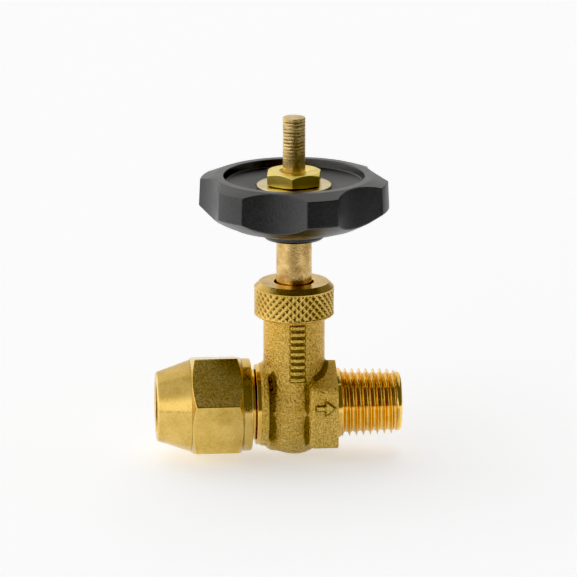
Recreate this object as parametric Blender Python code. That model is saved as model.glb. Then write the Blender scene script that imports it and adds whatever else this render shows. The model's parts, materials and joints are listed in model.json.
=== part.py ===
"""Straight-pattern brass needle valve with a handwheel.

Left port: compression nut and olive for a 10 mm tube.  Right port: 1/4 in taper male thread.
Frame: the origin is where the port axis crosses the spindle axis.  +X runs along the flow to the
taper thread, +Z up the spindle to the handwheel, and the cast flow arrow faces -Y.

All sizes below are in millimetres.  The mesh helpers turn them into metres.
The valve is shown open, with the needle LIFT_AT_REST above its seat.
Threads are plain cylinders at mid-thread radius with THREAD_GAP between the mating pair.
"""

import math

import bmesh
import bpy
from mathutils import Matrix, Vector

MM = 0.001

# Clearances
REST_GAP = 0.15          # between faces that rest on each other
RUNNING_GAP = 0.12       # radial, round the turning spindle
THREAD_GAP = 0.3         # radial, between a male and a female thread
CUT_OVERRUN = 1.0        # how far a cutter runs past the face it opens

# Facets of the round pieces
ROUND = 36
SMALL_ROUND = 24

# Port axis, positions along X
INLET_STUB_END = -18.0   # end of the male stub inside the compression nut
NUT_MOUTH_X = -8.8       # the compression nut's face towards the body
SHOULDER_GAP = 1.0       # from the nut's face to the body's machined ring
SHOULDER_RING = 0.8      # width of that ring
SHOULDER_WIDTH = 1.4     # width of the cast shoulder behind it
SHOULDER_SLOPE = 0.8     # length over which the shoulder runs out to the core
BLOCK_X = (2.9, 8.35)    # spanner block
OUTLET_END = 21.4
OUTLET_COLLAR = 1.2      # plain collar between the block and the taper thread
OUTLET_NOSE = 1.0        # plain nose past the last thread
OUTLET_NOSE_SLOPE = 0.6  # length for each millimetre between the last thread and the nose
OUTLET_NOSE_CHAMFER = 0.3
SPIGOT_ROOT = 1.0        # how deep the spigot starts inside the block

# Tube side
TUBE_RADIUS = 5.0
TUBE_GAP = 0.15
TUBE_SOCKET = 7.0             # depth of the tube's socket in the stub
INLET_BORE_RADIUS = 3.6
INLET_BORE = 3.5              # depth of the inlet bore past the tube's end
OLIVE_SEAT_DEPTH = 2.7        # length of the cone in the stub's mouth
OLIVE_SEAT_ANGLE = math.radians(23)
PASSAGE_RADIUS = 1.1          # sloping drilling from the inlet to the chamber under the seat
PASSAGE_START = (-8.4, -2.4)
PASSAGE_END = (-0.8, -7.1)

# Port axis, radii
STUB_WALL = 2.45         # from the tube's socket to the middle of the compression thread
STUB_CHAMFER = 0.5
STUB_RELIEF = 0.4        # by which the stub is smaller behind its thread
RING_STEP_OUT = 0.3      # by which the machined ring is larger than the thread
SHOULDER_STEP = 0.5      # by which the cast shoulder is larger than the ring
CORE_RADIUS = 6.5
TAPER_THREAD_RADIUS = 7.0     # crest at the thread's large end
TAPER = 1 / 32                # radius lost for each millimetre along a 1:16 thread
OUTLET_NOSE_RADIUS = 5.95
OUTLET_BORE_RADIUS = 3.5
OUTLET_THROAT_RADIUS = 2.3
OUTLET_THROAT_X = (1.5, 6.5)

# Spanner block, a prism along X
BLOCK_HALF_WIDTH = 8.0
BLOCK_APEX_Z = 8.9
BLOCK_EAVES_Z = 4.8
BLOCK_FLOOR_Z = -7.4
ARROW_LENGTH = 3.9
ARROW_SHAFT = 1.1        # full height of the shaft
ARROW_HEAD = 2.8         # full height of the head
ARROW_HEAD_LENGTH = 1.65
ARROW_Z = 1.1
ARROW_PROUD = 0.5
ARROW_ROOT = 0.5         # how deep the arrow starts inside the block

# Seat and chambers
SEAT_Z = -2.9
SEAT_RING = 1.2               # height of the pressed-in seat ring
SEAT_RING_RADIUS = 2.6
SEAT_BEVEL = 0.25
ORIFICE_RADIUS = 1.6
LOWER_CHAMBER_RADIUS = 2.1
LOWER_CHAMBER_FLOOR = -8.0
CHAMBER_RELIEF = 0.2          # by which the upper chamber is wider than the spindle's thread
SPINDLE_THREAD_BOTTOM_Z = 2.6
SPINDLE_THREAD_TOP_Z = 9.6
THREAD_RELIEF = 0.25          # by which the bore is wider above the spindle's thread
BOX_FLOOR_Z = 12.2            # floor of the stuffing box

# Spindle
SPINDLE_RADIUS = 3.55
SPINDLE_THREAD_RAISE = 0.05   # by which the foot's mid-thread is larger than the shank
SPINDLE_FOOT_CHAMFER = 0.5
LIFT_AT_REST = 5.0            # how far the needle stands above its seat as shown
LIFT_TO_BACKSEAT = 1.0        # what is left before the spindle stops against the packing
DRIVE_CORNER_STEP = 0.015     # by which the square's corners lie inside the shank
DRIVE_ROOT = 0.5              # how deep the square starts inside the shank
STUD_STEP = 0.25              # from the square's sides in to the stud
STUD_SPARE = 10.9             # length of stud left above the wheel nut
STUD_CHAMFER = 0.35

# Needle
NEEDLE_HALF_ANGLE = math.radians(15)
NEEDLE_TIP_RADIUS = 0.6
NEEDLE_RADIUS = 2.2
NEEDLE_COLLAR_RADIUS = 2.6
NEEDLE_COLLAR = 0.8
SHANK_RADIUS = 1.4
SHANK_LENGTH = 5.0
SHANK_GROOVE_DEPTH = 0.4
CLIP_WIRE = 0.7
CLIP_WIDTH = 0.83             # from the clip's bore to its outside
CLIP_SLOT = 0.9
CLIP_BELOW_SHANK_TOP = 1.6

# Packing and gland
PACKING_WIDTH = 1.15          # from the shank to the wall of the stuffing box
BASE_WASHER = 0.8
RING_HEIGHT = 1.5
RING_COUNT = 3
CHEVRON = 0.35
NECK_WALL = 1.05              # from the stuffing box to the middle of the neck's thread
NECK_THREAD_STEP = 0.4        # from the middle of that thread out to the neck
NECK_THREAD = 3.0             # length of the neck's thread
NECK_TOP_Z = 22.2
FOLLOWER_FLANGE = 0.95
FOLLOWER_FLANGE_INSET = 0.45  # by which the flange is smaller than the neck's thread
GLAND_NUT_WALL = 2.25         # from the middle of the neck's thread to the knurl
GLAND_NUT_DROP = 0.6          # how far the nut reaches down past the neck's thread
GLAND_NUT_TOP = 1.5           # thickness of its top
GLAND_NUT_CHAMFER = 1.1
GLAND_NUT_LOWER_CHAMFER = 0.4
GLAND_TAKE_UP = 0.7           # room left under the follower's flange to tighten the packing
GLAND_HOLE_GAP = 0.45         # from the shank to the hole in the gland nut's top
GLAND_SKIRT = 0.9             # plain counterbore at the nut's mouth
SKIRT_GAP = 0.25

# Body below and above the port axis
BELLY_STEP = 1.05             # by which the belly is larger than the neck
BELLY_Z = -0.3
BELLY_FLARE = 8.0             # height over which the neck flares out to the belly
FLARE_HOLLOW = 0.25           # how far the flare bows in at its middle
BODY_FLOOR_Z = -10.0

# Column of plain raised bars on the neck's -Y side
BAR_COUNT = 9
BAR_WIDTH = 2.9
BAR_HEIGHT = 0.65
BAR_PROUD = 0.4
LOWEST_BAR_Z = 6.6
BARS_BELOW_GLAND = 1.3        # from the gland nut's foot to the middle of the highest bar
BAR_FACETS = 6

# Handwheel
HUB_CLEARANCE = 9.0           # from the gland nut's top to the hub's foot, as shown
HUB_CHAMFER = 0.5
HUB_HEIGHT = 1.1              # from the hub's foot to the underside of the dish
HUB_COUNTERBORE = 2.3
HUB_WALL = 2.0                # from the insert's flats to the hub's outside
WHEEL_RADIUS = 19.0
WHEEL_CROWN = 12.75           # height of the crown above the hub's foot
WHEEL_LOBES = 6
SCALLOP_DEPTH = 2.7
SCALLOP_HALF_ANGLE = math.radians(20.3)
SCALLOP_FACETS = 12
LOBE_TURN = math.radians(-77.2)   # direction of the first lobe about +Z, from +X
RIM_HEIGHT = 5.3
RIM_DROP = 1.1                # how far the rim's outer edge lies under the crown
RIM_WIDTH = 4.9               # from the recess to the rim
CROWN_FLAT = 1.6              # width of the flat round the recess
RECESS_DEPTH = 1.5
RECESS_DRAFT = 0.3
DISH_FLOOR = 2.7              # depth of the flat middle of the recess
DISH_MARGIN = 0.9             # flat left round the washer
UNDERSIDE = ((2.5, 4.6), (5.6, 3.0))    # distance in from the rim, height above the hub's foot

# Brass insert moulded into the hub
INSERT_WALL = 0.75            # from the shank's radius to the insert's flats

# Fastening of the handwheel
WASHER_MARGIN = 2.3           # from the wheel nut's flats to the washer's edge
WHEEL_WASHER = 0.75
WHEEL_NUT_WALL = 2.95         # from the stud to the nut's flats
WHEEL_NUT = 2.6
WHEEL_NUT_TURN = math.radians(-97.6)   # direction of one corner about +Z, from +X
WHEEL_NUT_CHAMFER = (0.65, 0.35)       # radius, height
WHEEL_NUT_FOOT_CHAMFER = (0.25, 0.15)
WHEEL_NUT_SINK = (0.55, 0.45)          # countersink of its hole

# Compression nut and olive, along X from the stub's end unless they say otherwise
NUT_REACH = 9.8               # from the stub's end to the nut's nose
NUT_CONE = 6.9                # length of the nose's cone
NUT_WALL = 1.9                # from the middle of the thread to the flats
NUT_NOSE_WALL = 1.75          # from the tube's socket to the nose's outside
NUT_NOSE_CHAMFER = 0.35
NUT_CONE_INSET = 0.15         # by which the cone's large end lies inside the flats
NUT_CHAMFER = 0.46            # length of the hexagon's chamfer for each millimetre of radius
NUT_BACK_CHAMFER = 1.0
NUT_COLLAR = 1.9              # length of the collar at the nut's mouth
NUT_COLLAR_INSET = 0.17       # by which the collar lies inside the flats
NUT_COLLAR_CHAMFER = 0.3
NUT_THREAD_CHAMFER = 0.4
NUT_TURN = math.radians(16.6)  # which way its corners point, about +X
NUT_INNER_CONE = (1.9, 4.0)   # start and end of the cone inside it, past the stub's end
NUT_OLIVE_GAP = 0.4           # radial, round the olive
OLIVE_ENDS = (-3.1, -1.4, -0.4, 1.7)   # tail, start and end of the barrel, nose
OLIVE_NECK = 0.3              # length of the step behind the barrel
OLIVE_WALL = 1.65
OLIVE_NECK_WALL = 0.8
OLIVE_TAIL_WALL = 0.5
OLIVE_NOSE_WALL = 0.4

# Values that follow from the sizes above
COS_30 = math.cos(math.radians(30))
TUBE_BORE_RADIUS = TUBE_RADIUS + TUBE_GAP
TUBE_STOP_X = INLET_STUB_END + TUBE_SOCKET
INLET_BORE_END = TUBE_STOP_X + INLET_BORE
STUB_RADIUS = TUBE_BORE_RADIUS + STUB_WALL
STUB_RELIEF_RADIUS = STUB_RADIUS - STUB_RELIEF
RING_RADIUS = STUB_RADIUS + RING_STEP_OUT
SHOULDER_RADIUS = RING_RADIUS + SHOULDER_STEP
RING_X = NUT_MOUTH_X + SHOULDER_GAP
SHOULDER_START_X = RING_X + SHOULDER_RING
SHOULDER_END_X = SHOULDER_START_X + SHOULDER_WIDTH
SPINDLE_THREAD_RADIUS = SPINDLE_RADIUS + SPINDLE_THREAD_RAISE
DRIVE_SQUARE = math.sqrt(2) * (SPINDLE_RADIUS - DRIVE_CORNER_STEP)
STUD_RADIUS = DRIVE_SQUARE / 2 - STUD_STEP
SHANK_GROOVE_RADIUS = SHANK_RADIUS - SHANK_GROOVE_DEPTH
CLIP_BORE_RADIUS = SHANK_GROOVE_RADIUS + RUNNING_GAP
CLIP_OUTER_RADIUS = CLIP_BORE_RADIUS + CLIP_WIDTH
BOX_RADIUS = SPINDLE_RADIUS + PACKING_WIDTH
NECK_THREAD_RADIUS = BOX_RADIUS + NECK_WALL
NECK_RADIUS = NECK_THREAD_RADIUS + NECK_THREAD_STEP
NECK_THREAD_Z = NECK_TOP_Z - NECK_THREAD
BELLY_RADIUS = NECK_RADIUS + BELLY_STEP
FOLLOWER_FLANGE_RADIUS = NECK_THREAD_RADIUS - FOLLOWER_FLANGE_INSET
GLAND_NUT_RADIUS = NECK_THREAD_RADIUS + GLAND_NUT_WALL
GLAND_NUT_BOTTOM_Z = NECK_THREAD_Z - GLAND_NUT_DROP
GLAND_HOLE_RADIUS = SPINDLE_RADIUS + GLAND_HOLE_GAP
HIGHEST_BAR_Z = GLAND_NUT_BOTTOM_Z - BARS_BELOW_GLAND
NEEDLE_CONE = (NEEDLE_RADIUS - NEEDLE_TIP_RADIUS) / math.tan(NEEDLE_HALF_ANGLE)
NEEDLE_ENTRY = (ORIFICE_RADIUS - NEEDLE_TIP_RADIUS) / math.tan(NEEDLE_HALF_ANGLE)
NEEDLE_TIP_Z = SEAT_Z - NEEDLE_ENTRY + REST_GAP + LIFT_AT_REST
SPINDLE_BOTTOM_Z = NEEDLE_TIP_Z + NEEDLE_CONE + NEEDLE_COLLAR + REST_GAP
SPINDLE_SHOULDER_Z = BOX_FLOOR_Z - LIFT_TO_BACKSEAT - REST_GAP
BODY_SPINDLE_THREAD = SPINDLE_THREAD_RADIUS + THREAD_GAP
UPPER_CHAMBER_RADIUS = BODY_SPINDLE_THREAD + CHAMBER_RELIEF
THREAD_RELIEF_RADIUS = BODY_SPINDLE_THREAD + THREAD_RELIEF
RUNNING_RADIUS = SPINDLE_RADIUS + RUNNING_GAP
BASE_WASHER_Z = BOX_FLOOR_Z + REST_GAP
FIRST_RING_Z = BASE_WASHER_Z + BASE_WASHER + REST_GAP
PACKING_STEP = RING_HEIGHT + REST_GAP
FOLLOWER_Z = FIRST_RING_Z + RING_COUNT * PACKING_STEP
FOLLOWER_FLANGE_Z = NECK_TOP_Z + GLAND_TAKE_UP
FOLLOWER_TOP_Z = FOLLOWER_FLANGE_Z + FOLLOWER_FLANGE
GLAND_CEILING_Z = FOLLOWER_TOP_Z + REST_GAP
GLAND_NUT_HEIGHT = GLAND_CEILING_Z + GLAND_NUT_TOP - GLAND_NUT_BOTTOM_Z
HUB_BOTTOM_Z = GLAND_CEILING_Z + GLAND_NUT_TOP + HUB_CLEARANCE
INSERT_FLATS = 2 * (SPINDLE_RADIUS + INSERT_WALL)
HUB_RADIUS = INSERT_FLATS / 2 + HUB_WALL
DRIVE_SHOULDER_Z = HUB_BOTTOM_Z + HUB_COUNTERBORE - REST_GAP
WHEEL_NUT_FLATS = 2 * (STUD_RADIUS + WHEEL_NUT_WALL)
WHEEL_WASHER_RADIUS = WHEEL_NUT_FLATS / 2 + WASHER_MARGIN
DISH_FLAT_RADIUS = WHEEL_WASHER_RADIUS + DISH_MARGIN
RECESS_RADIUS = WHEEL_RADIUS - RIM_WIDTH
SCALLOP_BOTTOM_RADIUS = WHEEL_RADIUS - SCALLOP_DEPTH
WHEEL_FLOOR_Z = HUB_BOTTOM_Z + WHEEL_CROWN - DISH_FLOOR
WHEEL_WASHER_Z = WHEEL_FLOOR_Z + REST_GAP
WHEEL_NUT_Z = WHEEL_WASHER_Z + WHEEL_WASHER + REST_GAP
STUD_TOP_Z = WHEEL_NUT_Z + WHEEL_NUT + STUD_SPARE
STUD_HOLE_RADIUS = STUD_RADIUS + RUNNING_GAP + REST_GAP
NUT_FLATS = 2 * (STUB_RADIUS + NUT_WALL)
NUT_NOSE_X = INLET_STUB_END - NUT_REACH
NUT_NOSE_RADIUS = TUBE_BORE_RADIUS + NUT_NOSE_WALL
NUT_COLLAR_RADIUS = NUT_FLATS / 2 - NUT_COLLAR_INSET
OLIVE_RADIUS = TUBE_BORE_RADIUS + OLIVE_WALL
NUT_INNER_CONE_RADIUS = OLIVE_RADIUS + NUT_OLIVE_GAP

TURN_Z_TO_X = Matrix.Rotation(math.radians(90), 4, "Y")

BRASS_CAST = ("cast_brass", (0.58, 0.41, 0.14), 0.45, 1.0)
BRASS_TURNED = ("turned_brass", (0.78, 0.60, 0.24), 0.22, 1.0)
BRASS_SPINDLE = ("spindle_brass", (0.74, 0.56, 0.30), 0.3, 1.0)
STEEL = ("needle_steel", (0.62, 0.62, 0.62), 0.25, 1.0)
BLACK_PLASTIC = ("handwheel_plastic", (0.045, 0.045, 0.048), 0.55, 0.0)
PACKING_PLASTIC = ("packing_plastic", (0.85, 0.85, 0.82), 0.6, 0.0)


def clear_scene():
    for obj in list(bpy.data.objects):
        bpy.data.objects.remove(obj, do_unlink=True)


def material(finish):
    """The Principled material of one finish, made once."""
    name, colour, roughness, metallic = finish
    found = bpy.data.materials.get(name)
    if found:
        return found
    made = bpy.data.materials.new(name)
    made.use_nodes = True
    shader = made.node_tree.nodes["Principled BSDF"]
    shader.inputs["Base Color"].default_value = (*colour, 1.0)
    shader.inputs["Roughness"].default_value = roughness
    shader.inputs["Metallic"].default_value = metallic
    return made


def empty(name, location=(0, 0, 0)):
    """An empty on a joint's axis, which the pieces of one moving body are parented to."""
    made = bpy.data.objects.new(name, None)
    made.location = Vector(location) * MM
    bpy.context.scene.collection.objects.link(made)
    return made


def add_object(name, bm, finish=None, parent=None):
    """Turns a bmesh in millimetres into an object in metres; with no finish it is a hidden cutter."""
    bmesh.ops.recalc_face_normals(bm, faces=bm.faces)
    bmesh.ops.scale(bm, vec=(MM, MM, MM), verts=bm.verts)
    mesh = bpy.data.meshes.new(name)
    bm.to_mesh(mesh)
    bm.free()
    obj = bpy.data.objects.new(name, mesh)
    bpy.context.scene.collection.objects.link(obj)
    if finish:
        mesh.materials.append(material(finish))
        mesh.shade_smooth()
        mesh.set_sharp_from_angle(angle=math.radians(30))
    else:
        obj.hide_render = True
        obj.display_type = "WIRE"
    if parent:
        obj.parent = parent
    return obj


def spin_profile(profile, segments=ROUND, closed=False):
    """A solid of revolution about Z from (radius, height) points.

    An open profile starts and ends on the axis; a closed one makes a ring.
    """
    bm = bmesh.new()
    verts = [bm.verts.new((radius, 0, height)) for radius, height in profile]
    pairs = list(zip(verts, verts[1:]))
    if closed:
        pairs.append((verts[-1], verts[0]))
    edges = [bm.edges.new(pair) for pair in pairs]
    bmesh.ops.spin(
        bm, geom=verts + edges, axis=(0, 0, 1), cent=(0, 0, 0),
        angle=2 * math.pi, steps=segments, use_duplicate=False,
    )
    bmesh.ops.remove_doubles(bm, verts=bm.verts, dist=1e-4)
    return bm


def prism(outline, low, high):
    """A prism along Z from (x, y) points, from height low to height high."""
    bm = bmesh.new()
    face = bm.faces.new([bm.verts.new((x, y, low)) for x, y in outline])
    grown = bmesh.ops.extrude_face_region(bm, geom=[face])
    moved = [item for item in grown["geom"] if isinstance(item, bmesh.types.BMVert)]
    bmesh.ops.translate(bm, vec=(0, 0, high - low), verts=moved)
    return bm


def regular(corners, flats, turn=0.0):
    """Corners of a regular polygon with an even number of sides, from its size across flats."""
    radius = flats / 2 / math.cos(math.pi / corners)
    return [
        (radius * math.cos(turn + 2 * math.pi * i / corners),
         radius * math.sin(turn + 2 * math.pi * i / corners))
        for i in range(corners)
    ]


def along_x(bm):
    """Turns a shape modelled along Z so that it lies along X."""
    bmesh.ops.transform(bm, matrix=TURN_Z_TO_X, verts=bm.verts)
    return bm


def combine(obj, operation, other):
    """Adds a Boolean modifier that joins, cuts or intersects obj with another shape."""
    modifier = obj.modifiers.new(other.name, "BOOLEAN")
    modifier.operation = operation
    modifier.solver = "EXACT"
    modifier.object = other
    if obj.parent and not other.parent:
        other.parent = obj.parent
    other.location = obj.location


def cast_column():
    """Neck, belly and floor of the casting, turned about the spindle axis."""
    return spin_profile([
        (0, BODY_FLOOR_Z),
        (BELLY_RADIUS * 0.42, BODY_FLOOR_Z + 0.1),
        (BELLY_RADIUS * 0.67, BODY_FLOOR_Z + 0.7),
        (BELLY_RADIUS * 0.87, BODY_FLOOR_Z + 3.2),
        (BELLY_RADIUS, BELLY_Z),
        ((BELLY_RADIUS + NECK_RADIUS) / 2 - FLARE_HOLLOW, BELLY_Z + BELLY_FLARE / 2 + 0.5),
        (NECK_RADIUS, BELLY_Z + BELLY_FLARE),
        (NECK_RADIUS, NECK_THREAD_Z),
        (NECK_THREAD_RADIUS, NECK_THREAD_Z),
        (NECK_THREAD_RADIUS, NECK_TOP_Z),
        (0, NECK_TOP_Z),
    ])


def port_run():
    """Stub, ring, shoulder, core and taper spigot, turned about the port axis."""
    thread_start = BLOCK_X[1] + OUTLET_COLLAR
    thread_end = OUTLET_END - OUTLET_NOSE
    small_end = TAPER_THREAD_RADIUS - (thread_end - thread_start) * TAPER
    nose_start = thread_end + (small_end - OUTLET_NOSE_RADIUS) * OUTLET_NOSE_SLOPE
    return along_x(spin_profile([
        (0, INLET_STUB_END),
        (STUB_RADIUS - STUB_CHAMFER, INLET_STUB_END),
        (STUB_RADIUS, INLET_STUB_END + STUB_CHAMFER),
        (STUB_RADIUS, NUT_MOUTH_X - 0.2 - STUB_RELIEF),
        (STUB_RELIEF_RADIUS, NUT_MOUTH_X - 0.2),
        (STUB_RELIEF_RADIUS, RING_X),
        (RING_RADIUS, RING_X),
        (RING_RADIUS, SHOULDER_START_X),
        (SHOULDER_RADIUS, SHOULDER_START_X),
        (SHOULDER_RADIUS, SHOULDER_END_X),
        (CORE_RADIUS, SHOULDER_END_X + SHOULDER_SLOPE),
        (CORE_RADIUS, BLOCK_X[1] - SPIGOT_ROOT),
        (TAPER_THREAD_RADIUS, BLOCK_X[1] - SPIGOT_ROOT),
        (TAPER_THREAD_RADIUS, thread_start),
        (small_end, thread_end),
        (OUTLET_NOSE_RADIUS, nose_start),
        (OUTLET_NOSE_RADIUS, OUTLET_END - OUTLET_NOSE_CHAMFER),
        (OUTLET_NOSE_RADIUS - OUTLET_NOSE_CHAMFER, OUTLET_END),
        (0, OUTLET_END),
    ]))


def spanner_block():
    """Flat-sided block with a gabled top that a spanner holds."""
    bm = prism([
        (-BLOCK_FLOOR_Z, -BLOCK_HALF_WIDTH),
        (-BLOCK_EAVES_Z, -BLOCK_HALF_WIDTH),
        (-BLOCK_APEX_Z, 0),
        (-BLOCK_EAVES_Z, BLOCK_HALF_WIDTH),
        (-BLOCK_FLOOR_Z, BLOCK_HALF_WIDTH),
    ], *BLOCK_X)
    return along_x(bm)


def flow_arrow():
    """Raised arrow on the block's -Y face, pointing to the outlet."""
    tail = (BLOCK_X[0] + BLOCK_X[1] - ARROW_LENGTH) / 2
    tip = tail + ARROW_LENGTH
    neck = tip - ARROW_HEAD_LENGTH
    shaft, wing = ARROW_SHAFT / 2, ARROW_HEAD / 2
    bm = prism([
        (tail, -shaft), (neck, -shaft), (neck, -wing), (tip, 0),
        (neck, wing), (neck, shaft), (tail, shaft),
    ], BLOCK_HALF_WIDTH - ARROW_ROOT, BLOCK_HALF_WIDTH + ARROW_PROUD)
    bmesh.ops.rotate(bm, matrix=Matrix.Rotation(math.radians(90), 3, "X"), verts=bm.verts)
    bmesh.ops.translate(bm, vec=(0, 0, ARROW_Z), verts=bm.verts)
    return bm


def raised_bar(middle):
    """One bar of the column: a short arc of ring that follows the neck, at the height middle."""
    reach = math.asin(BAR_WIDTH / 2 / NECK_RADIUS)
    outer = NECK_RADIUS + BAR_PROUD
    steps = BAR_FACETS
    outline = [
        (outer * math.sin(a), -outer * math.cos(a))
        for a in (reach * (2 * i / steps - 1) for i in range(steps + 1))
    ]
    inner = -NECK_RADIUS * math.cos(reach) + CUT_OVERRUN / 2
    outline += [(outline[-1][0], inner), (outline[0][0], inner)]
    return prism(outline, middle - BAR_HEIGHT / 2, middle + BAR_HEIGHT / 2)


def spindle_bore():
    """Everything drilled down the spindle axis, from the lower chamber to the stuffing box."""
    return spin_profile([
        (0, LOWER_CHAMBER_FLOOR),
        (LOWER_CHAMBER_RADIUS, LOWER_CHAMBER_FLOOR),
        (LOWER_CHAMBER_RADIUS, SEAT_Z - SEAT_RING - REST_GAP),
        (SEAT_RING_RADIUS + REST_GAP, SEAT_Z - SEAT_RING - REST_GAP),
        (SEAT_RING_RADIUS + REST_GAP, SEAT_Z),
        (UPPER_CHAMBER_RADIUS, SEAT_Z + UPPER_CHAMBER_RADIUS - SEAT_RING_RADIUS),
        (UPPER_CHAMBER_RADIUS, SPINDLE_THREAD_BOTTOM_Z),
        (BODY_SPINDLE_THREAD, SPINDLE_THREAD_BOTTOM_Z),
        (BODY_SPINDLE_THREAD, SPINDLE_THREAD_TOP_Z),
        (THREAD_RELIEF_RADIUS, SPINDLE_THREAD_TOP_Z),
        (THREAD_RELIEF_RADIUS, BOX_FLOOR_Z),
        (BOX_RADIUS, BOX_FLOOR_Z),
        (BOX_RADIUS, NECK_TOP_Z + CUT_OVERRUN),
        (0, NECK_TOP_Z + CUT_OVERRUN),
    ])


def inlet_bore():
    """Olive cone, tube socket and inlet drilling."""
    mouth = TUBE_BORE_RADIUS + OLIVE_SEAT_DEPTH * math.tan(OLIVE_SEAT_ANGLE)
    return along_x(spin_profile([
        (0, INLET_STUB_END - CUT_OVERRUN),
        (mouth, INLET_STUB_END - CUT_OVERRUN),
        (mouth, INLET_STUB_END),
        (TUBE_BORE_RADIUS, INLET_STUB_END + OLIVE_SEAT_DEPTH),
        (TUBE_BORE_RADIUS, TUBE_STOP_X),
        (INLET_BORE_RADIUS, TUBE_STOP_X),
        (INLET_BORE_RADIUS, INLET_BORE_END),
        (0, INLET_BORE_END),
    ]))


def outlet_bore():
    """Outlet drilling and the narrower throat into the upper chamber."""
    throat_start, throat_end = OUTLET_THROAT_X
    return along_x(spin_profile([
        (0, throat_start),
        (OUTLET_THROAT_RADIUS, throat_start),
        (OUTLET_THROAT_RADIUS, throat_end),
        (OUTLET_BORE_RADIUS, throat_end),
        (OUTLET_BORE_RADIUS, OUTLET_END + CUT_OVERRUN),
        (0, OUTLET_END + CUT_OVERRUN),
    ], SMALL_ROUND))


def sloping_passage():
    """Drilling that slopes from the inlet down to the chamber under the seat."""
    start = Vector((PASSAGE_START[0], 0, PASSAGE_START[1]))
    end = Vector((PASSAGE_END[0], 0, PASSAGE_END[1]))
    length = (end - start).length
    bm = spin_profile([
        (0, 0), (PASSAGE_RADIUS, 0), (PASSAGE_RADIUS, length), (0, length),
    ], 16)
    turn = (end - start).to_track_quat("Z", "Y").to_matrix().to_4x4()
    bmesh.ops.transform(bm, matrix=Matrix.Translation(start) @ turn, verts=bm.verts)
    return bm


def make_body():
    body = add_object("valve_body", cast_column(), BRASS_CAST)
    for name, shape in (
        ("port_run", port_run()),
        ("spanner_block", spanner_block()),
        ("flow_arrow", flow_arrow()),
    ):
        combine(body, "UNION", add_object(name, shape))
    low, high = LOWEST_BAR_Z, HIGHEST_BAR_Z
    for index in range(BAR_COUNT):
        middle = low + (high - low) * index / (BAR_COUNT - 1)
        combine(body, "UNION", add_object(f"raised_bar_{index + 1}", raised_bar(middle)))
    for name, shape in (
        ("sloping_passage", sloping_passage()),
        ("spindle_bore", spindle_bore()),
        ("inlet_bore", inlet_bore()),
        ("outlet_bore", outlet_bore()),
    ):
        combine(body, "DIFFERENCE", add_object(name, shape))


def ring(name, inner, outer, low, high, finish, parent=None, peak=0.0, segments=ROUND):
    """A flat ring about Z; peak raises the middle of both its faces into a chevron."""
    middle = (inner + outer) / 2
    profile = [(inner, low), (outer, low), (outer, high), (inner, high)]
    if peak:
        profile = [
            (inner, low), (middle, low + peak), (outer, low),
            (outer, high), (middle, high + peak), (inner, high),
        ]
    return add_object(name, spin_profile(profile, segments, closed=True), finish, parent)


def make_seat():
    """Ring with a bevelled mouth that is pressed into the body under the needle."""
    bevel = SEAT_BEVEL
    seat = spin_profile([
        (ORIFICE_RADIUS, 0), (SEAT_RING_RADIUS, 0), (SEAT_RING_RADIUS, SEAT_RING),
        (ORIFICE_RADIUS + bevel, SEAT_RING), (ORIFICE_RADIUS, SEAT_RING - bevel),
    ], SMALL_ROUND, closed=True)
    add_object("seat_ring", seat, STEEL).location.z = (SEAT_Z - SEAT_RING) * MM


def make_packing():
    """Base washer and chevron rings in the stuffing box."""
    outer = BOX_RADIUS - RUNNING_GAP
    middle = (RUNNING_RADIUS + outer) / 2
    washer = spin_profile([
        (RUNNING_RADIUS, 0), (outer, 0), (outer, BASE_WASHER),
        (middle, BASE_WASHER + CHEVRON), (RUNNING_RADIUS, BASE_WASHER),
    ], closed=True)
    add_object("packing_base_washer", washer, BRASS_TURNED).location.z = BASE_WASHER_Z * MM
    for index, place in enumerate(("lower", "middle", "upper")[:RING_COUNT]):
        made = ring(
            f"packing_ring_{place}", RUNNING_RADIUS, outer, 0, RING_HEIGHT,
            PACKING_PLASTIC, peak=CHEVRON,
        )
        made.location.z = (FIRST_RING_Z + index * PACKING_STEP) * MM


def make_gland():
    """The follower that slides in the neck, and the knurled nut that presses it."""
    slide = empty("gland_slide", (0, 0, FOLLOWER_Z))
    outer = BOX_RADIUS - RUNNING_GAP
    flange = FOLLOWER_FLANGE_Z - FOLLOWER_Z
    top = FOLLOWER_TOP_Z - FOLLOWER_Z
    add_object("gland_follower", spin_profile([
        (RUNNING_RADIUS, 0), ((RUNNING_RADIUS + outer) / 2, CHEVRON), (outer, 0),
        (outer, flange), (FOLLOWER_FLANGE_RADIUS, flange),
        (FOLLOWER_FLANGE_RADIUS, top), (RUNNING_RADIUS, top),
    ], closed=True), BRASS_TURNED, slide)

    turn = empty("gland_turn", (0, 0, GLAND_NUT_BOTTOM_Z - FOLLOWER_Z))
    turn.parent = slide
    height = GLAND_NUT_HEIGHT
    thread = NECK_THREAD_RADIUS + THREAD_GAP
    skirt = NECK_RADIUS + SKIRT_GAP
    add_object("gland_nut", spin_profile([
        (skirt, 0),
        (GLAND_NUT_RADIUS - GLAND_NUT_LOWER_CHAMFER, 0),
        (GLAND_NUT_RADIUS, GLAND_NUT_LOWER_CHAMFER),
        (GLAND_NUT_RADIUS, height - GLAND_NUT_CHAMFER),
        (GLAND_NUT_RADIUS - GLAND_NUT_CHAMFER, height),
        (GLAND_HOLE_RADIUS, height),
        (GLAND_HOLE_RADIUS, height - GLAND_NUT_TOP),
        (thread, height - GLAND_NUT_TOP),
        (thread, GLAND_SKIRT),
        (skirt, GLAND_SKIRT),
    ], closed=True), BRASS_TURNED, turn)


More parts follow.
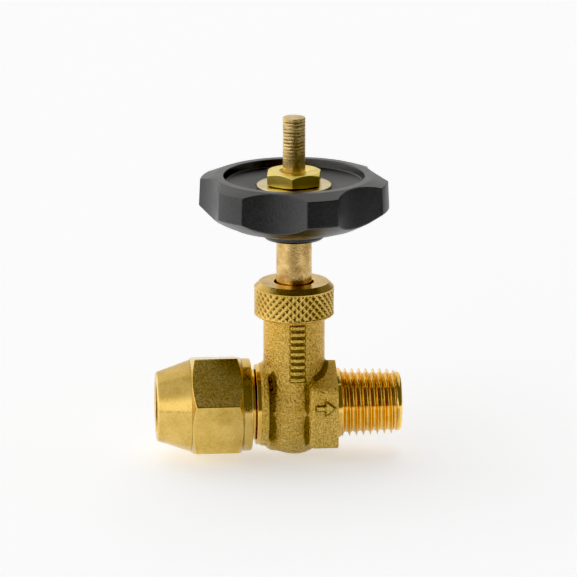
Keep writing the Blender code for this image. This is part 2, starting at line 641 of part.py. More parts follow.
def needle_profile():
    """Needle, collar and grooved shank, measured up from the tip."""
    cone = NEEDLE_CONE
    collar = cone + NEEDLE_COLLAR
    top = collar + SHANK_LENGTH
    groove = top - CLIP_BELOW_SHANK_TOP
    half = CLIP_WIRE / 2 + REST_GAP
    return [
        (0, 0), (NEEDLE_TIP_RADIUS, 0), (NEEDLE_RADIUS, cone), (NEEDLE_COLLAR_RADIUS, cone),
        (NEEDLE_COLLAR_RADIUS, collar), (SHANK_RADIUS, collar),
        (SHANK_RADIUS, groove - half), (SHANK_GROOVE_RADIUS, groove - half),
        (SHANK_GROOVE_RADIUS, groove + half), (SHANK_RADIUS, groove + half),
        (SHANK_RADIUS, top), (0, top),
    ]


def clip_height():
    """Height of the needle clip's middle above the port axis."""
    return NEEDLE_TIP_Z + NEEDLE_CONE + NEEDLE_COLLAR + SHANK_LENGTH - CLIP_BELOW_SHANK_TOP


def make_needle(lift):
    """The needle, and the split ring that keeps it in the spindle while the spindle turns."""
    add_object("needle", spin_profile(needle_profile(), SMALL_ROUND), STEEL, lift)
    clip = ring(
        "needle_clip", CLIP_BORE_RADIUS, CLIP_OUTER_RADIUS, -CLIP_WIRE / 2, CLIP_WIRE / 2,
        STEEL, lift, segments=SMALL_ROUND,
    )
    clip.location.z = (clip_height() - NEEDLE_TIP_Z) * MM
    slot = add_object("clip_slot", prism([
        (0, -CLIP_SLOT / 2), (CLIP_OUTER_RADIUS + CUT_OVERRUN, -CLIP_SLOT / 2),
        (CLIP_OUTER_RADIUS + CUT_OVERRUN, CLIP_SLOT / 2), (0, CLIP_SLOT / 2),
    ], -CLIP_WIRE, CLIP_WIRE))
    combine(clip, "DIFFERENCE", slot)


def make_spindle(turn):
    """Threaded foot, plain shank, drive square and the stud that the wheel nut holds on to."""
    base = SPINDLE_BOTTOM_Z
    shoulder = SPINDLE_SHOULDER_Z - base
    drive = DRIVE_SHOULDER_Z - base
    stud = WHEEL_FLOOR_Z - REST_GAP - base
    top = STUD_TOP_Z - base
    spindle = add_object("spindle", spin_profile([
        (0, 0),
        (SPINDLE_THREAD_RADIUS - SPINDLE_FOOT_CHAMFER, 0),
        (SPINDLE_THREAD_RADIUS, SPINDLE_FOOT_CHAMFER),
        (SPINDLE_THREAD_RADIUS, shoulder),
        (SPINDLE_RADIUS, shoulder),
        (SPINDLE_RADIUS, drive),
        (STUD_RADIUS, drive),
        (STUD_RADIUS, top - STUD_CHAMFER),
        (STUD_RADIUS - STUD_CHAMFER, top),
        (0, top),
    ]), BRASS_SPINDLE, turn)
    square = regular(4, DRIVE_SQUARE, math.radians(45))
    combine(spindle, "UNION", add_object("drive_square", prism(square, drive - DRIVE_ROOT, stud)))

    bore = SHANK_RADIUS + RUNNING_GAP
    depth = SHANK_LENGTH + REST_GAP
    groove = clip_height() - base
    half = CLIP_WIRE / 2 + REST_GAP
    groove_radius = CLIP_OUTER_RADIUS + REST_GAP
    combine(spindle, "DIFFERENCE", add_object("needle_socket", spin_profile([
        (0, -CUT_OVERRUN), (bore, -CUT_OVERRUN), (bore, groove - half),
        (groove_radius, groove - half), (groove_radius, groove + half),
        (bore, groove + half), (bore, depth), (0, depth),
    ], SMALL_ROUND)))


def scallop_outline(turn):
    """One finger scallop: an arc through the rim's two corners and the scallop's bottom."""
    corner = Vector((math.cos(SCALLOP_HALF_ANGLE), math.sin(SCALLOP_HALF_ANGLE))) * WHEEL_RADIUS
    sagitta = corner.x - SCALLOP_BOTTOM_RADIUS
    radius = (sagitta ** 2 + corner.y ** 2) / (2 * sagitta)
    centre = SCALLOP_BOTTOM_RADIUS + radius
    reach = math.asin(corner.y / radius) * 1.08
    steps = SCALLOP_FACETS
    outside = WHEEL_RADIUS + CUT_OVERRUN
    points = [
        Vector((centre - radius * math.cos(a), radius * math.sin(a)))
        for a in (reach * (2 * i / steps - 1) for i in range(steps + 1))
    ]
    points += [Vector((outside, points[-1].y)), Vector((outside, points[0].y))]
    cos_turn, sin_turn = math.cos(turn), math.sin(turn)
    return [(p.x * cos_turn - p.y * sin_turn, p.x * sin_turn + p.y * cos_turn) for p in points]


def make_handwheel(turn):
    crown = WHEEL_CROWN
    edge = crown - RIM_DROP
    wheel = add_object("handwheel", spin_profile([
        (0, 0),
        (HUB_RADIUS - HUB_CHAMFER, 0),
        (HUB_RADIUS, HUB_CHAMFER),
        (HUB_RADIUS, HUB_HEIGHT),
        *((WHEEL_RADIUS - inset, height) for inset, height in reversed(UNDERSIDE)),
        (WHEEL_RADIUS, edge - RIM_HEIGHT),
        (WHEEL_RADIUS, edge),
        (RECESS_RADIUS + CROWN_FLAT, crown),
        (RECESS_RADIUS, crown),
        (RECESS_RADIUS - RECESS_DRAFT, crown - RECESS_DEPTH),
        (DISH_FLAT_RADIUS, crown - DISH_FLOOR),
        (0, crown - DISH_FLOOR),
    ], 2 * ROUND), BLACK_PLASTIC, turn)
    wheel.location.z = (HUB_BOTTOM_Z - SPINDLE_BOTTOM_Z) * MM
    for index in range(WHEEL_LOBES):
        middle = LOBE_TURN + (index + 0.5) * 2 * math.pi / WHEEL_LOBES
        cutter = prism(scallop_outline(middle), -CUT_OVERRUN, crown + CUT_OVERRUN)
        combine(wheel, "DIFFERENCE", add_object(f"scallop_{index + 1}", cutter))
    counterbore = SPINDLE_RADIUS + REST_GAP
    combine(wheel, "DIFFERENCE", add_object("hub_counterbore", spin_profile([
        (0, -CUT_OVERRUN), (counterbore, -CUT_OVERRUN),
        (counterbore, HUB_COUNTERBORE), (0, HUB_COUNTERBORE),
    ])))
    pocket = regular(6, INSERT_FLATS + 2 * REST_GAP)
    floor = HUB_COUNTERBORE - REST_GAP
    combine(wheel, "DIFFERENCE", add_object("insert_pocket", prism(pocket, floor, crown)))


def make_insert(turn):
    """Hexagonal brass bush with the square hole that the spindle drives."""
    height = WHEEL_CROWN - DISH_FLOOR - HUB_COUNTERBORE
    insert = add_object(
        "handwheel_insert", prism(regular(6, INSERT_FLATS), 0, height), BRASS_TURNED, turn
    )
    insert.location.z = (HUB_BOTTOM_Z + HUB_COUNTERBORE - SPINDLE_BOTTOM_Z) * MM
    square = regular(4, DRIVE_SQUARE + 2 * REST_GAP, math.radians(45))
    hole = prism(square, -CUT_OVERRUN, height + CUT_OVERRUN)
    combine(insert, "DIFFERENCE", add_object("drive_hole", hole))


def hexagon_nut(name, flats, low, high, profile, finish, parent, turn=0.0):
    """A nut: a turned outline, which gives its bore, cones and chamfers, cut to a hexagon."""
    nut = add_object(name, spin_profile(profile, ROUND, closed=True), finish, parent)
    bar = prism(regular(6, flats, turn), low, high)
    return nut, add_object(f"{name}_bar", bar)


def make_wheel_fastening(turn):
    """Flat washer and hexagon nut that hold the wheel on its square."""
    washer = ring(
        "wheel_washer", STUD_HOLE_RADIUS, WHEEL_WASHER_RADIUS, 0, WHEEL_WASHER,
        BRASS_TURNED, turn,
    )
    washer.location.z = (WHEEL_WASHER_Z - SPINDLE_BOTTOM_Z) * MM
    corner = WHEEL_NUT_FLATS / 2 / COS_30 + 0.05
    foot, chamfer, sink = WHEEL_NUT_FOOT_CHAMFER, WHEEL_NUT_CHAMFER, WHEEL_NUT_SINK
    nut, bar = hexagon_nut(
        "wheel_nut", WHEEL_NUT_FLATS, -CUT_OVERRUN, WHEEL_NUT + CUT_OVERRUN, [
            (STUD_HOLE_RADIUS, 0), (corner - foot[0], 0), (corner, foot[1]),
            (corner, WHEEL_NUT - chamfer[1]), (corner - chamfer[0], WHEEL_NUT),
            (STUD_HOLE_RADIUS + sink[0], WHEEL_NUT), (STUD_HOLE_RADIUS, WHEEL_NUT - sink[1]),
        ], BRASS_TURNED, turn, WHEEL_NUT_TURN,
    )
    nut.location.z = (WHEEL_NUT_Z - SPINDLE_BOTTOM_Z) * MM
    combine(nut, "INTERSECT", bar)


def make_compression_end():
    """Olive and compression nut, which screws on to the stub and drives the olive into it."""
    slide = empty("olive_slide", (INLET_STUB_END, 0, 0))
    bore = TUBE_BORE_RADIUS
    tail, barrel_start, barrel_end, nose = OLIVE_ENDS
    add_object("olive", along_x(spin_profile([
        (bore, tail), (bore + OLIVE_TAIL_WALL, tail),
        (OLIVE_RADIUS, barrel_start), (OLIVE_RADIUS, barrel_end),
        (bore + OLIVE_NECK_WALL, barrel_end + OLIVE_NECK), (bore + OLIVE_NOSE_WALL, nose),
        (bore, nose),
    ], closed=True)), BRASS_TURNED, slide)

    turn = empty("compression_nut_turn", (NUT_MOUTH_X - INLET_STUB_END, 0, 0))
    turn.parent = slide
    left = NUT_NOSE_X - NUT_MOUTH_X
    cone_end = left + NUT_CONE
    collar = -NUT_COLLAR
    cone_start, cone_stop = (INLET_STUB_END - past - NUT_MOUTH_X for past in NUT_INNER_CONE)
    thread = STUB_RADIUS + THREAD_GAP
    corner = NUT_FLATS / 2 / COS_30 + 0.05
    cone_radius = NUT_FLATS / 2 - NUT_CONE_INSET
    chamfer_end = cone_end + (corner - cone_radius) * NUT_CHAMFER
    rim, mouth = NUT_COLLAR_CHAMFER, NUT_THREAD_CHAMFER
    nut, bar = hexagon_nut(
        "compression_nut", NUT_FLATS, left - CUT_OVERRUN, CUT_OVERRUN, [
            (bore, left), (NUT_NOSE_RADIUS - NUT_NOSE_CHAMFER, left),
            (NUT_NOSE_RADIUS, left + NUT_NOSE_CHAMFER),
            (cone_radius, cone_end), (corner, chamfer_end),
            (corner, collar - NUT_BACK_CHAMFER), (NUT_COLLAR_RADIUS, collar),
            (NUT_COLLAR_RADIUS, -rim), (NUT_COLLAR_RADIUS - rim, 0),
            (thread + mouth, 0), (thread, -mouth), (thread, cone_start),
            (NUT_INNER_CONE_RADIUS, cone_start), (bore, cone_stop),
        ], BRASS_TURNED, turn, NUT_TURN,
    )
    for obj in (nut, bar):
        along = Matrix.Rotation(math.radians(90), 4, "Y")
        obj.data.transform(along)
    combine(nut, "INTERSECT", bar)


def main():
    clear_scene()
    make_body()
    make_seat()
    make_packing()
    make_gland()
    lift = empty("needle_lift", (0, 0, NEEDLE_TIP_Z))
    turn = empty("spindle_turn", (0, 0, SPINDLE_BOTTOM_Z - NEEDLE_TIP_Z))
    turn.parent = lift
    make_needle(lift)
    make_spindle(turn)
    make_handwheel(turn)
    make_insert(turn)
    make_wheel_fastening(turn)
    make_compression_end()


main()
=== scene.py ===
"""Looks of a straight brass needle valve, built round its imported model.

Sizes in the classes below are millimetres in the valve's own frame: the port axis is X with the
outlet at +X, the spindle axis is Z with the handwheel at the top, and the flow arrow faces -Y.
Meshes are turned into metres when they are made.
"""

from __future__ import annotations

import json
import logging
import math
from collections.abc import Callable, Sequence
from dataclasses import dataclass, field, replace
from enum import Enum

import bmesh
import bpy
import numpy as np
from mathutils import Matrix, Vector

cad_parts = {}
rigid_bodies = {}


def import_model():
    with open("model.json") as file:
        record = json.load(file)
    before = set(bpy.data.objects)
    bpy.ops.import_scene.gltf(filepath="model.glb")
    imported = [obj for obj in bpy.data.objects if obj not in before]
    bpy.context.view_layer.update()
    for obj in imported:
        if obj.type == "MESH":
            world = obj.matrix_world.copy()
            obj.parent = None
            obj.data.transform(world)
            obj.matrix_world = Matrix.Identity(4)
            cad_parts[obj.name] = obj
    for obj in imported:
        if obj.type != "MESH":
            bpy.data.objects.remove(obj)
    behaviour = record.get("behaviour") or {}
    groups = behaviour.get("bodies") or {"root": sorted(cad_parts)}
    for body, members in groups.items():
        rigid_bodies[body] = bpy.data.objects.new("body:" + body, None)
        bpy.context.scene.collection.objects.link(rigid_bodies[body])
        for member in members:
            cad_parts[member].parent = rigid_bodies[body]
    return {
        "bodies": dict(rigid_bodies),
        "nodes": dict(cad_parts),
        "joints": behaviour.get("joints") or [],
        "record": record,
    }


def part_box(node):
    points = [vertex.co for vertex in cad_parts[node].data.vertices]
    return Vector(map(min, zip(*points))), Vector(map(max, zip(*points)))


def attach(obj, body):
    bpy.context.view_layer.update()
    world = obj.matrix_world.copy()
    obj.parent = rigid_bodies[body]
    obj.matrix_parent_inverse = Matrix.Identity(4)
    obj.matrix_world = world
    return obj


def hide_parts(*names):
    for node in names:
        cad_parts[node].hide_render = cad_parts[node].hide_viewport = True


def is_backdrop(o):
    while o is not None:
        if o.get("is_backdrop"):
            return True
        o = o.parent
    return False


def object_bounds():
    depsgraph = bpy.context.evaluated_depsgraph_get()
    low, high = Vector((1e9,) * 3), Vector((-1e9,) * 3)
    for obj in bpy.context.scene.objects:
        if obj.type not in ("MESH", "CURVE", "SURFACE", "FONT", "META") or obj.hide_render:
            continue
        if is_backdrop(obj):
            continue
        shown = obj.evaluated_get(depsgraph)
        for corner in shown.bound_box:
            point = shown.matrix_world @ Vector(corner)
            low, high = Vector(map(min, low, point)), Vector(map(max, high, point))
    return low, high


LOG = logging.getLogger("needle_valve")
MM = 0.001
TURN = 2 * math.pi
WELD_DISTANCE = 1e-7        # metres; closes seams and poles
FINE_STEPS = 14401          # samples that crowded angles are summed over
GENTLE_BEND = 0.2           # radians; a gentler bend than this is neither edge nor crevice
LONGEST_ARC = 0.42          # share of the shorter side beside a corner that its arc may take
SUPPORT_SHARE = 0.06        # share of that side between an arc and its supporting point
RIDGE_GAIN, FOLD_GAIN = 0.9, 0.38   # exposure for each unit of curvature, near by and far off
FOLD_START = 0.1            # curvature of a hollow that starts to count at the far distance
BRIGHTER, DARKER = 1.25, 0.25   # edges against clean metal, and crevices against tarnish; the crevice darkening is painted shade, with grime on the worn stud
DRIVE_FOOT = 2.15           # mm from the hub's foot up to the foot of the drive square
GRAIN_SHEEN = 0.12          # how much rougher a grain's peaks are than its hollows
EXPOSURE = "exposure"       # point attribute: 0 in a crevice, 0.5 on a face, 1 on an edge
FLAT, EDGE, CREVICE = 0.5, 1.0, 0.0

Array = np.ndarray


class Axis(Enum):
    """The line that a turned piece is made round."""

    PORT = "port"
    SPINDLE = "spindle"


# --------------------------------------------------------------------------- surfaces


@dataclass
class Shell:
    """A stretch of surface, in millimetres.

    Attributes:
        points: One row of x, y, z for each point.
        faces: Four point numbers for each face.
        exposure: How exposed each point is, from 0 in a crevice to 1 on an edge.
    """

    points: Array
    faces: Array
    exposure: Array


def about(axis: Axis, radius: Array, angle: Array, along: Array) -> Array:
    """Places points given by radius, angle and distance along an axis.

    Round the spindle the angle runs from +X towards +Y, and round the port from +Y towards +Z.

    Args:
        axis: The axis to place them round.
        radius: Distances from the axis.
        angle: Angles in radians.
        along: Distances along the axis.

    Returns:
        An array with a last dimension of x, y, z.
    """
    radius, angle, along = np.broadcast_arrays(radius, angle, along)
    first, second = radius * np.cos(angle), radius * np.sin(angle)
    order = (first, second, along) if axis is Axis.SPINDLE else (along, first, second)
    return np.stack(order, axis=-1)


def crowded_angles(
    count: int, corners: Sequence[float] = (), width: float = 0.04, gain: float = 7.0
) -> Array:
    """Angles round one turn that crowd together near corners.

    The steps are equal shares of the integral of 1 + gain * exp(-(distance to corner / width)^2).

    Args:
        count: How many angles.
        corners: Where they crowd, in radians.
        width: How far round each corner, in radians.
        gain: How much denser they are there.

    Returns:
        The angles, rising from 0.
    """
    fine = np.linspace(0, TURN, FINE_STEPS)
    density = np.ones_like(fine)
    for corner in corners:
        apart = (fine - corner + math.pi) % TURN - math.pi
        density += gain * np.exp(-((apart / width) ** 2))
    total = np.concatenate([[0.0], np.cumsum((density[1:] + density[:-1]) / 2)])
    return np.interp(np.arange(count) / count * total[-1], total, fine)


def regular_corners(sides: int, turn: float) -> list[float]:
    """The directions of a regular polygon's corners, the first of them at turn."""
    return [(turn + TURN * i / sides) % TURN for i in range(sides)]


def polygon_radius(
    angle: Array, sides: int, flats: float, turn: float, crisp: float = 160
) -> Array:
    """Distance from the axis to a regular polygon's side, with slightly rounded corners.

    It is the inradius over the p-norm of the cosines of the angles to each side's middle.

    Args:
        angle: Angles in radians.
        sides: Number of sides.
        flats: Size across flats.
        turn: Direction of one corner.
        crisp: The norm's power; a larger one gives sharper corners.

    Returns:
        One distance for each angle.
    """
    middles = turn + TURN * (np.arange(sides) + 0.5) / sides
    cosines = np.clip(np.cos(np.subtract.outer(angle, middles)), 1e-6, None)
    return flats / 2 / np.sum(cosines**crisp, axis=-1) ** (1 / crisp)


def smooth_min(first: Array, second: Array, blend: float) -> Array:
    """The smaller of two values, rounded by a parabola where they differ by less than blend."""
    share = np.clip(0.5 + 0.5 * (second - first) / blend, 0, 1)
    return second * (1 - share) + first * share - blend * share * (1 - share)


def smooth_max(first: Array, second: Array, blend: float) -> Array:
    """The larger of two values, rounded in the same way."""
    return -smooth_min(-first, -second, blend)


def smooth_step(low: float, high: float, value: Array) -> Array:
    """A cubic rise from 0 at low to 1 at high."""
    share = np.clip((value - low) / (high - low), 0, 1)
    return share * share * (3 - 2 * share)


@dataclass(frozen=True)
class Corner:
    """One corner of a turned outline; radius and along may change with the angle."""

    radius: float | Array
    along: float | Array
    fillet: float = 0.0


def rounded_path(
    corners: Sequence[Corner], count: int, closed: bool, steps: int = 4, margin: float = 0.08
) -> tuple[Array, Array]:
    """Turns an outline's corners into arcs, for every angle at once.

    A corner of turning angle a and fillet f becomes an arc that starts f * tan(a / 2) before it.
    A supporting point just outside each end of the arc keeps the shading of the faces flat.

    Args:
        corners: The outline, in order.
        count: How many angles it is worked out for.
        closed: Whether the last corner joins the first.
        steps: Segments in each arc.
        margin: Distance from an arc's end to its supporting point.

    Returns:
        The path as (row, angle, (radius, along)), and the exposure of each of its points.
    """
    spots = np.stack(
        [
            np.stack([np.broadcast_to(c.radius, count), np.broadcast_to(c.along, count)], axis=-1)
            for c in corners
        ]
    ).astype(float)
    before, after = np.roll(spots, 1, axis=0), np.roll(spots, -1, axis=0)
    area = np.sum(spots[..., 0] * after[..., 1] - spots[..., 1] * after[..., 0])
    rows: list[Array] = []
    exposures: list[Array] = []

    def keep(row: Array, exposure: Array | float) -> None:
        rows.append(row)
        exposures.append(np.broadcast_to(exposure, count).astype(float))

    for index, corner in enumerate(corners):
        here = spots[index]
        at_end = not closed and index in (0, len(corners) - 1)
        if corner.fillet == 0 or at_end:
            keep(here, FLAT)
            continue
        into, out = here - before[index], after[index] - here
        length_in = np.maximum(np.linalg.norm(into, axis=-1), 1e-9)
        length_out = np.maximum(np.linalg.norm(out, axis=-1), 1e-9)
        into, out = into / length_in[:, None], out / length_out[:, None]
        cross = into[:, 0] * out[:, 1] - into[:, 1] * out[:, 0]
        turning = np.arctan2(cross, np.sum(into * out, axis=-1))
        shortest = np.minimum(length_in, length_out)
        half = np.maximum(np.abs(np.tan(turning / 2)), 1e-6)
        tangent = np.minimum(corner.fillet * half, LONGEST_ARC * shortest)
        radius = tangent / half
        side = np.sign(turning)[:, None]
        start = here - into * tangent[:, None]
        spoke = side * np.stack([-into[:, 1], into[:, 0]], axis=-1) * radius[:, None]
        centre = start + spoke
        exposure = np.where(turning * area > 0, EDGE, CREVICE)
        exposure = np.where(np.abs(turning) < GENTLE_BEND, FLAT, exposure)
        support = np.minimum(margin, SUPPORT_SHARE * shortest)[:, None]
        keep(start - into * support, FLAT)
        for step in range(steps + 1):
            swing = turning * step / steps
            turned = np.stack(
                [
                    -spoke[:, 0] * np.cos(swing) + spoke[:, 1] * np.sin(swing),
                    -spoke[:, 0] * np.sin(swing) - spoke[:, 1] * np.cos(swing),
                ],
                axis=-1,
            )
            keep(centre + turned, exposure)
        keep(here + out * (tangent[:, None] + support), FLAT)
    return np.stack(rows), np.stack(exposures)


def grid_faces(rows: int, columns: int, closed: bool) -> Array:
    """Faces of a grid whose columns join round, and whose rows do too if it is closed."""
    down = np.arange(rows if closed else rows - 1)[:, None]
    across = np.arange(columns)[None, :]
    below, beside = (down + 1) % rows, (across + 1) % columns
    corners = [
        down * columns + across,
        down * columns + beside,
        below * columns + beside,
        below * columns + across,
    ]
    return np.stack([np.broadcast_to(c, (len(down), columns)) for c in corners], -1).reshape(-1, 4)


def turned_shell(
    corners: Sequence[Corner], angles: Array, axis: Axis, closed: bool = True, steps: int = 4
) -> Shell:
    """A surface turned about an axis from an outline of rounded corners.

    Args:
        corners: The outline.
        angles: The angles it is worked out at.
        axis: The axis.
        closed: Whether the outline is a loop; an open one starts and ends on the axis or on
            another shell.
        steps: Segments in each rounded corner.

    Returns:
        The surface.
    """
    path, exposure = rounded_path(corners, len(angles), closed, steps)
    points = about(axis, path[..., 0], angles[None, :], path[..., 1])
    faces = grid_faces(len(path), len(angles), closed)
    return Shell(points.reshape(-1, 3), faces, exposure.reshape(-1))


def helical_shell(
    start: float,
    end: float,
    pitch: float,
    segments: int,
    rows: int,
    radius: Callable[[Array, Array], tuple[Array, Array]],
    axis: Axis,
) -> Shell:
    """A threaded surface whose grid follows the thread, so that crests stay crisp.

    Point (i, k) lies at angle 2 * pi * i / segments and at start + pitch * (i / segments - 1
    + k / rows) along the axis, held between start and end.

    Args:
        start: Where the surface begins along the axis.
        end: Where it ends.
        pitch: The thread's pitch.
        segments: Points round one turn.
        rows: Points across one pitch.
        radius: Gives radius and exposure from (angle, along).
        axis: The axis.

    Returns:
        The surface, open at both ends.
    """
    turns = math.ceil((end - start) / pitch) + 1
    step = np.arange(turns * segments + 1)[:, None]
    share = np.arange(rows + 1)[None, :] / rows
    angle = np.broadcast_to(step % segments * TURN / segments, (len(step), rows + 1))
    along = np.clip(start + pitch * (step / segments - 1 + share), start, end)
    size, exposure = radius(angle, along)
    points = about(axis, size, angle, along).reshape(-1, 3)
    columns = rows + 1
    i, k = np.meshgrid(np.arange(len(step) - 1), np.arange(rows), indexing="ij")
    first = i * columns + k
    faces = np.stack([first, first + columns, first + columns + 1, first + 1], -1)
    return Shell(points, faces.reshape(-1, 4), np.asarray(exposure, float).reshape(-1))


def thread_phase(angle: Array, along: Array, pitch: float) -> Array:
    """How far a point lies across a right-hand thread, from 0 at one crest to 1 at the next."""
    return (along / pitch - angle / TURN) % 1


@dataclass(frozen=True)
class Thread:
    """A cut thread with sloping flanks, flat crests and flat valleys, turned down at both ends.

    Attributes:
        crest: Radius of the crests.
        depth: Depth of the valleys.
        pitch: Distance from crest to crest.
        starts: Where it starts along its axis, and how steeply it rises there.
        ends: Where it ends, and how steeply it falls there.
    """

    crest: float
    depth: float
    pitch: float
    starts: tuple[float, float]
    ends: tuple[float, float]

    @property
    def root(self) -> float:
        """Radius of the valleys."""
        return self.crest - self.depth

    def radius(self, angle: Array, along: Array) -> tuple[Array, Array]:
        """Radius and exposure: the height across one pitch is a triangle wave, clipped."""
        phase = thread_phase(angle, along, self.pitch)
        height = np.clip(np.abs(2 * phase - 1) * 1.25 - 0.1, 0, 1)
        (start, rise), (end, fall) = self.starts, self.ends
        size = np.minimum(self.root + self.depth * height, self.root + (along - start) * rise)
        size = np.minimum(size, self.root + (end - along) * fall)
        return np.maximum(size, self.root), np.clip(height, 0.2, 1)

    def shell(self, segments: int, rows: int, axis: Axis) -> Shell:
        """Its surface, open at both ends."""
        start, end = self.starts[0], self.ends[0]
        return helical_shell(start, end, self.pitch, segments, rows, self.radius, axis)


# --------------------------------------------------------------------------- implicit solids


Solid = Callable[[Array, Array, Array], Array]


def surface_net(solid: Solid, low: Sequence[float], high: Sequence[float], cell: float) -> Shell:
    """Meshes the surface where a function of x, y, z crosses from negative inside to positive.

    Each grid cell that the surface crosses gets one point, at the mean of the places where the
    surface cuts the cell's edges.  Each grid edge that it cuts gets one face, between the points
    of the four cells round the edge.  Newton steps along the gradient then settle the points on
    the surface.

    Args:
        solid: The function, in millimetres.
        low: The grid's lowest corner.
        high: Its highest corner.
        cell: The grid's spacing.

    Returns:
        The closed surface.
    """
    lines = [np.arange(a, b + cell, cell) for a, b in zip(low, high)]
    values = solid(*np.meshgrid(*lines, indexing="ij", sparse=True)).astype(np.float32)
    shape = np.array(values.shape)
    total = np.zeros((*(shape - 1), 3), np.float64)
    count = np.zeros(shape - 1, np.int32)
    pending: list[tuple[Array, ...]] = []
    for axis in range(3):
        unit = np.eye(3, dtype=int)[axis]
        first = values[tuple(slice(0, n - u) for n, u in zip(shape, unit))]
        second = values[tuple(slice(u, None) for u in unit)]
        edges = np.argwhere((first < 0) != (second < 0))
        a = first[tuple(edges.T)]
        b = second[tuple(edges.T)]
        cuts = edges + unit * (a / (a - b))[:, None]
        u, w = np.eye(3, dtype=int)[(axis + 1) % 3], np.eye(3, dtype=int)[(axis + 2) % 3]
        round_edge = [edges, edges - u, edges - u - w, edges - w]
        for cells in round_edge:
            np.add.at(total, tuple(cells.T), cuts)
            np.add.at(count, tuple(cells.T), 1)
        pending.append((np.stack(round_edge, axis=1), a < 0))
    used = np.argwhere(count > 0)
    number = np.full(count.shape, -1, np.int64)
    number[tuple(used.T)] = np.arange(len(used))
    points = total[tuple(used.T)] / count[tuple(used.T)][:, None] * cell + np.array(low)
    faces = []
    for cells, rising in pending:
        quads = number[tuple(np.moveaxis(cells, -1, 0))]
        faces.append(np.where(rising[:, None], quads, quads[:, ::-1]))
    points = settle(solid, points, cell)
    return Shell(points, np.concatenate(faces), np.full(len(points), FLAT))


def gradient(solid: Solid, points: Array, step: float) -> Array:
    """Central differences of a solid's function at each point."""
    slopes = []
    for axis in range(3):
        shift = np.eye(3)[axis] * step
        slopes.append((solid(*(points + shift).T) - solid(*(points - shift).T)) / (2 * step))
    return np.stack(slopes, axis=-1)


def settle(solid: Solid, points: Array, cell: float, rounds: int = 3) -> Array:
    """Moves points on to a solid's surface along its gradient, at most half a cell a round."""
    for _ in range(rounds):
        slope = gradient(solid, points, cell * 0.2)
        size = np.maximum(np.sum(slope**2, axis=-1), 1e-4)
        move = -(solid(*points.T) / size)[:, None] * slope
        length = np.maximum(np.linalg.norm(move, axis=-1), 1e-9)
        points = points + move * np.minimum(1, 0.5 * cell / length)[:, None]
    return points


def curvature_exposure(solid: Solid, points: Array, near: float, far: float) -> Array:
    """Exposure of points on a solid: how much the surface curves away or closes in around them.

    The sum of the function's second differences at some distance measures the mean curvature; it
    is positive on ridges and negative in hollows.  Hollows count at the far distance too, so that
    the folds where two shapes meet darken over some width, as painted shade.
    """
    here = 6 * solid(*points.T)

    def bend(reach: float) -> Array:
        steps = [sign * np.eye(3)[axis] * reach for axis in range(3) for sign in (-1, 1)]
        return (sum(solid(*(points + step).T) for step in steps) - here) / reach

    fold = np.minimum(bend(far) + FOLD_START, 0)
    return np.clip(FLAT + RIDGE_GAIN * bend(near) + FOLD_GAIN * fold, 0, 1)


# --------------------------------------------------------------------------- materials


class Graph:
    """Short-hand for adding nodes to a tree and joining them."""

    def __init__(self, tree: bpy.types.NodeTree) -> None:
        """Keeps the tree that the nodes go in."""
        self.tree = tree

    def add(self, kind: str, settings: dict | None = None, **inputs: object) -> bpy.types.Node:
        """Adds one node.

        Args:
            kind: The node's type.
            settings: Its own properties.
            **inputs: Its inputs by name, with _ for a space, or by place as in0, in1 and so on.
                A socket is linked and anything else is set as the value.

        Returns:
            The node.
        """
        node = self.tree.nodes.new(kind)
        for key, value in (settings or {}).items():
            setattr(node, key, value)
        for key, value in inputs.items():
            place = int(key[2:]) if key[:2] == "in" and key[2:].isdigit() else key.replace("_", " ")
            socket = node.inputs[place]
            if isinstance(value, bpy.types.NodeSocket):
                self.tree.links.new(value, socket)
            else:
                socket.default_value = value
        return node

    def group(self, tree: bpy.types.NodeTree, place: object, **inputs: object) -> bpy.types.Node:
        """Adds a node group that reads a position."""
        return self.add("ShaderNodeGroup", {"node_tree": tree}, Position=place, **inputs)

    def bump(
        self, height: object, depth: float, normal: bpy.types.NodeSocket | None = None
    ) -> bpy.types.NodeSocket:
        """A normal that follows a height whose full range is depth, in millimetres.

        Args:
            height: The height, from 0 to 1.
            depth: Its range.
            normal: The normal to start from, or None for the surface's own.

        Returns:
            The normal.
        """
        inputs = {"Height": height, "Distance": depth * MM, "Strength": 1.0}
        if normal is not None:
            inputs["Normal"] = normal
        return self.add("ShaderNodeBump", **inputs).outputs[0]

    def maths(self, operation: str, *values: object, clamp: bool = False) -> bpy.types.NodeSocket:
        """The result of a Math node."""
        settings = {"operation": operation, "use_clamp": clamp}
        inputs = {f"in{i}": value for i, value in enumerate(values)}
        return self.add("ShaderNodeMath", settings, **inputs).outputs[0]

    def length(self, vector: object) -> bpy.types.NodeSocket:
        """The length of a vector."""
        return self.add("ShaderNodeVectorMath", {"operation": "LENGTH"}, in0=vector).outputs[1]

    def weighted(self, first: object, share: float, second: object) -> bpy.types.NodeSocket:
        """A share of one value plus the rest of another."""
        kept = self.maths("MULTIPLY", first, share)
        return self.maths("ADD", kept, self.maths("MULTIPLY", second, 1 - share))

    def blend(self, share: object, low: float, high: float) -> bpy.types.NodeSocket:
        """A number going from low, where share is 0, to high."""
        return self.maths("MULTIPLY_ADD", share, high - low, low)

    def mix(self, share: object, first: object, second: object) -> bpy.types.NodeSocket:
        """A colour mixed from two."""
        node = self.add("ShaderNodeMix", {"data_type": "RGBA"}, in0=share, in6=first, in7=second)
        return node.outputs[2]

    def ramp(self, value: object, low: float, high: float) -> bpy.types.NodeSocket:
        """A value rising smoothly from 0 at low to 1 at high."""
        settings = {"interpolation_type": "SMOOTHSTEP"}
        node = self.add("ShaderNodeMapRange", settings, in0=value, in1=low, in2=high)
        return node.outputs[0]

    def noise(self, vector: object, scale: object, detail: float = 3.0) -> bpy.types.NodeSocket:
        """A noise value."""
        node = self.add("ShaderNodeTexNoise", Vector=vector, Scale=scale, Detail=detail)
        return node.outputs[0]


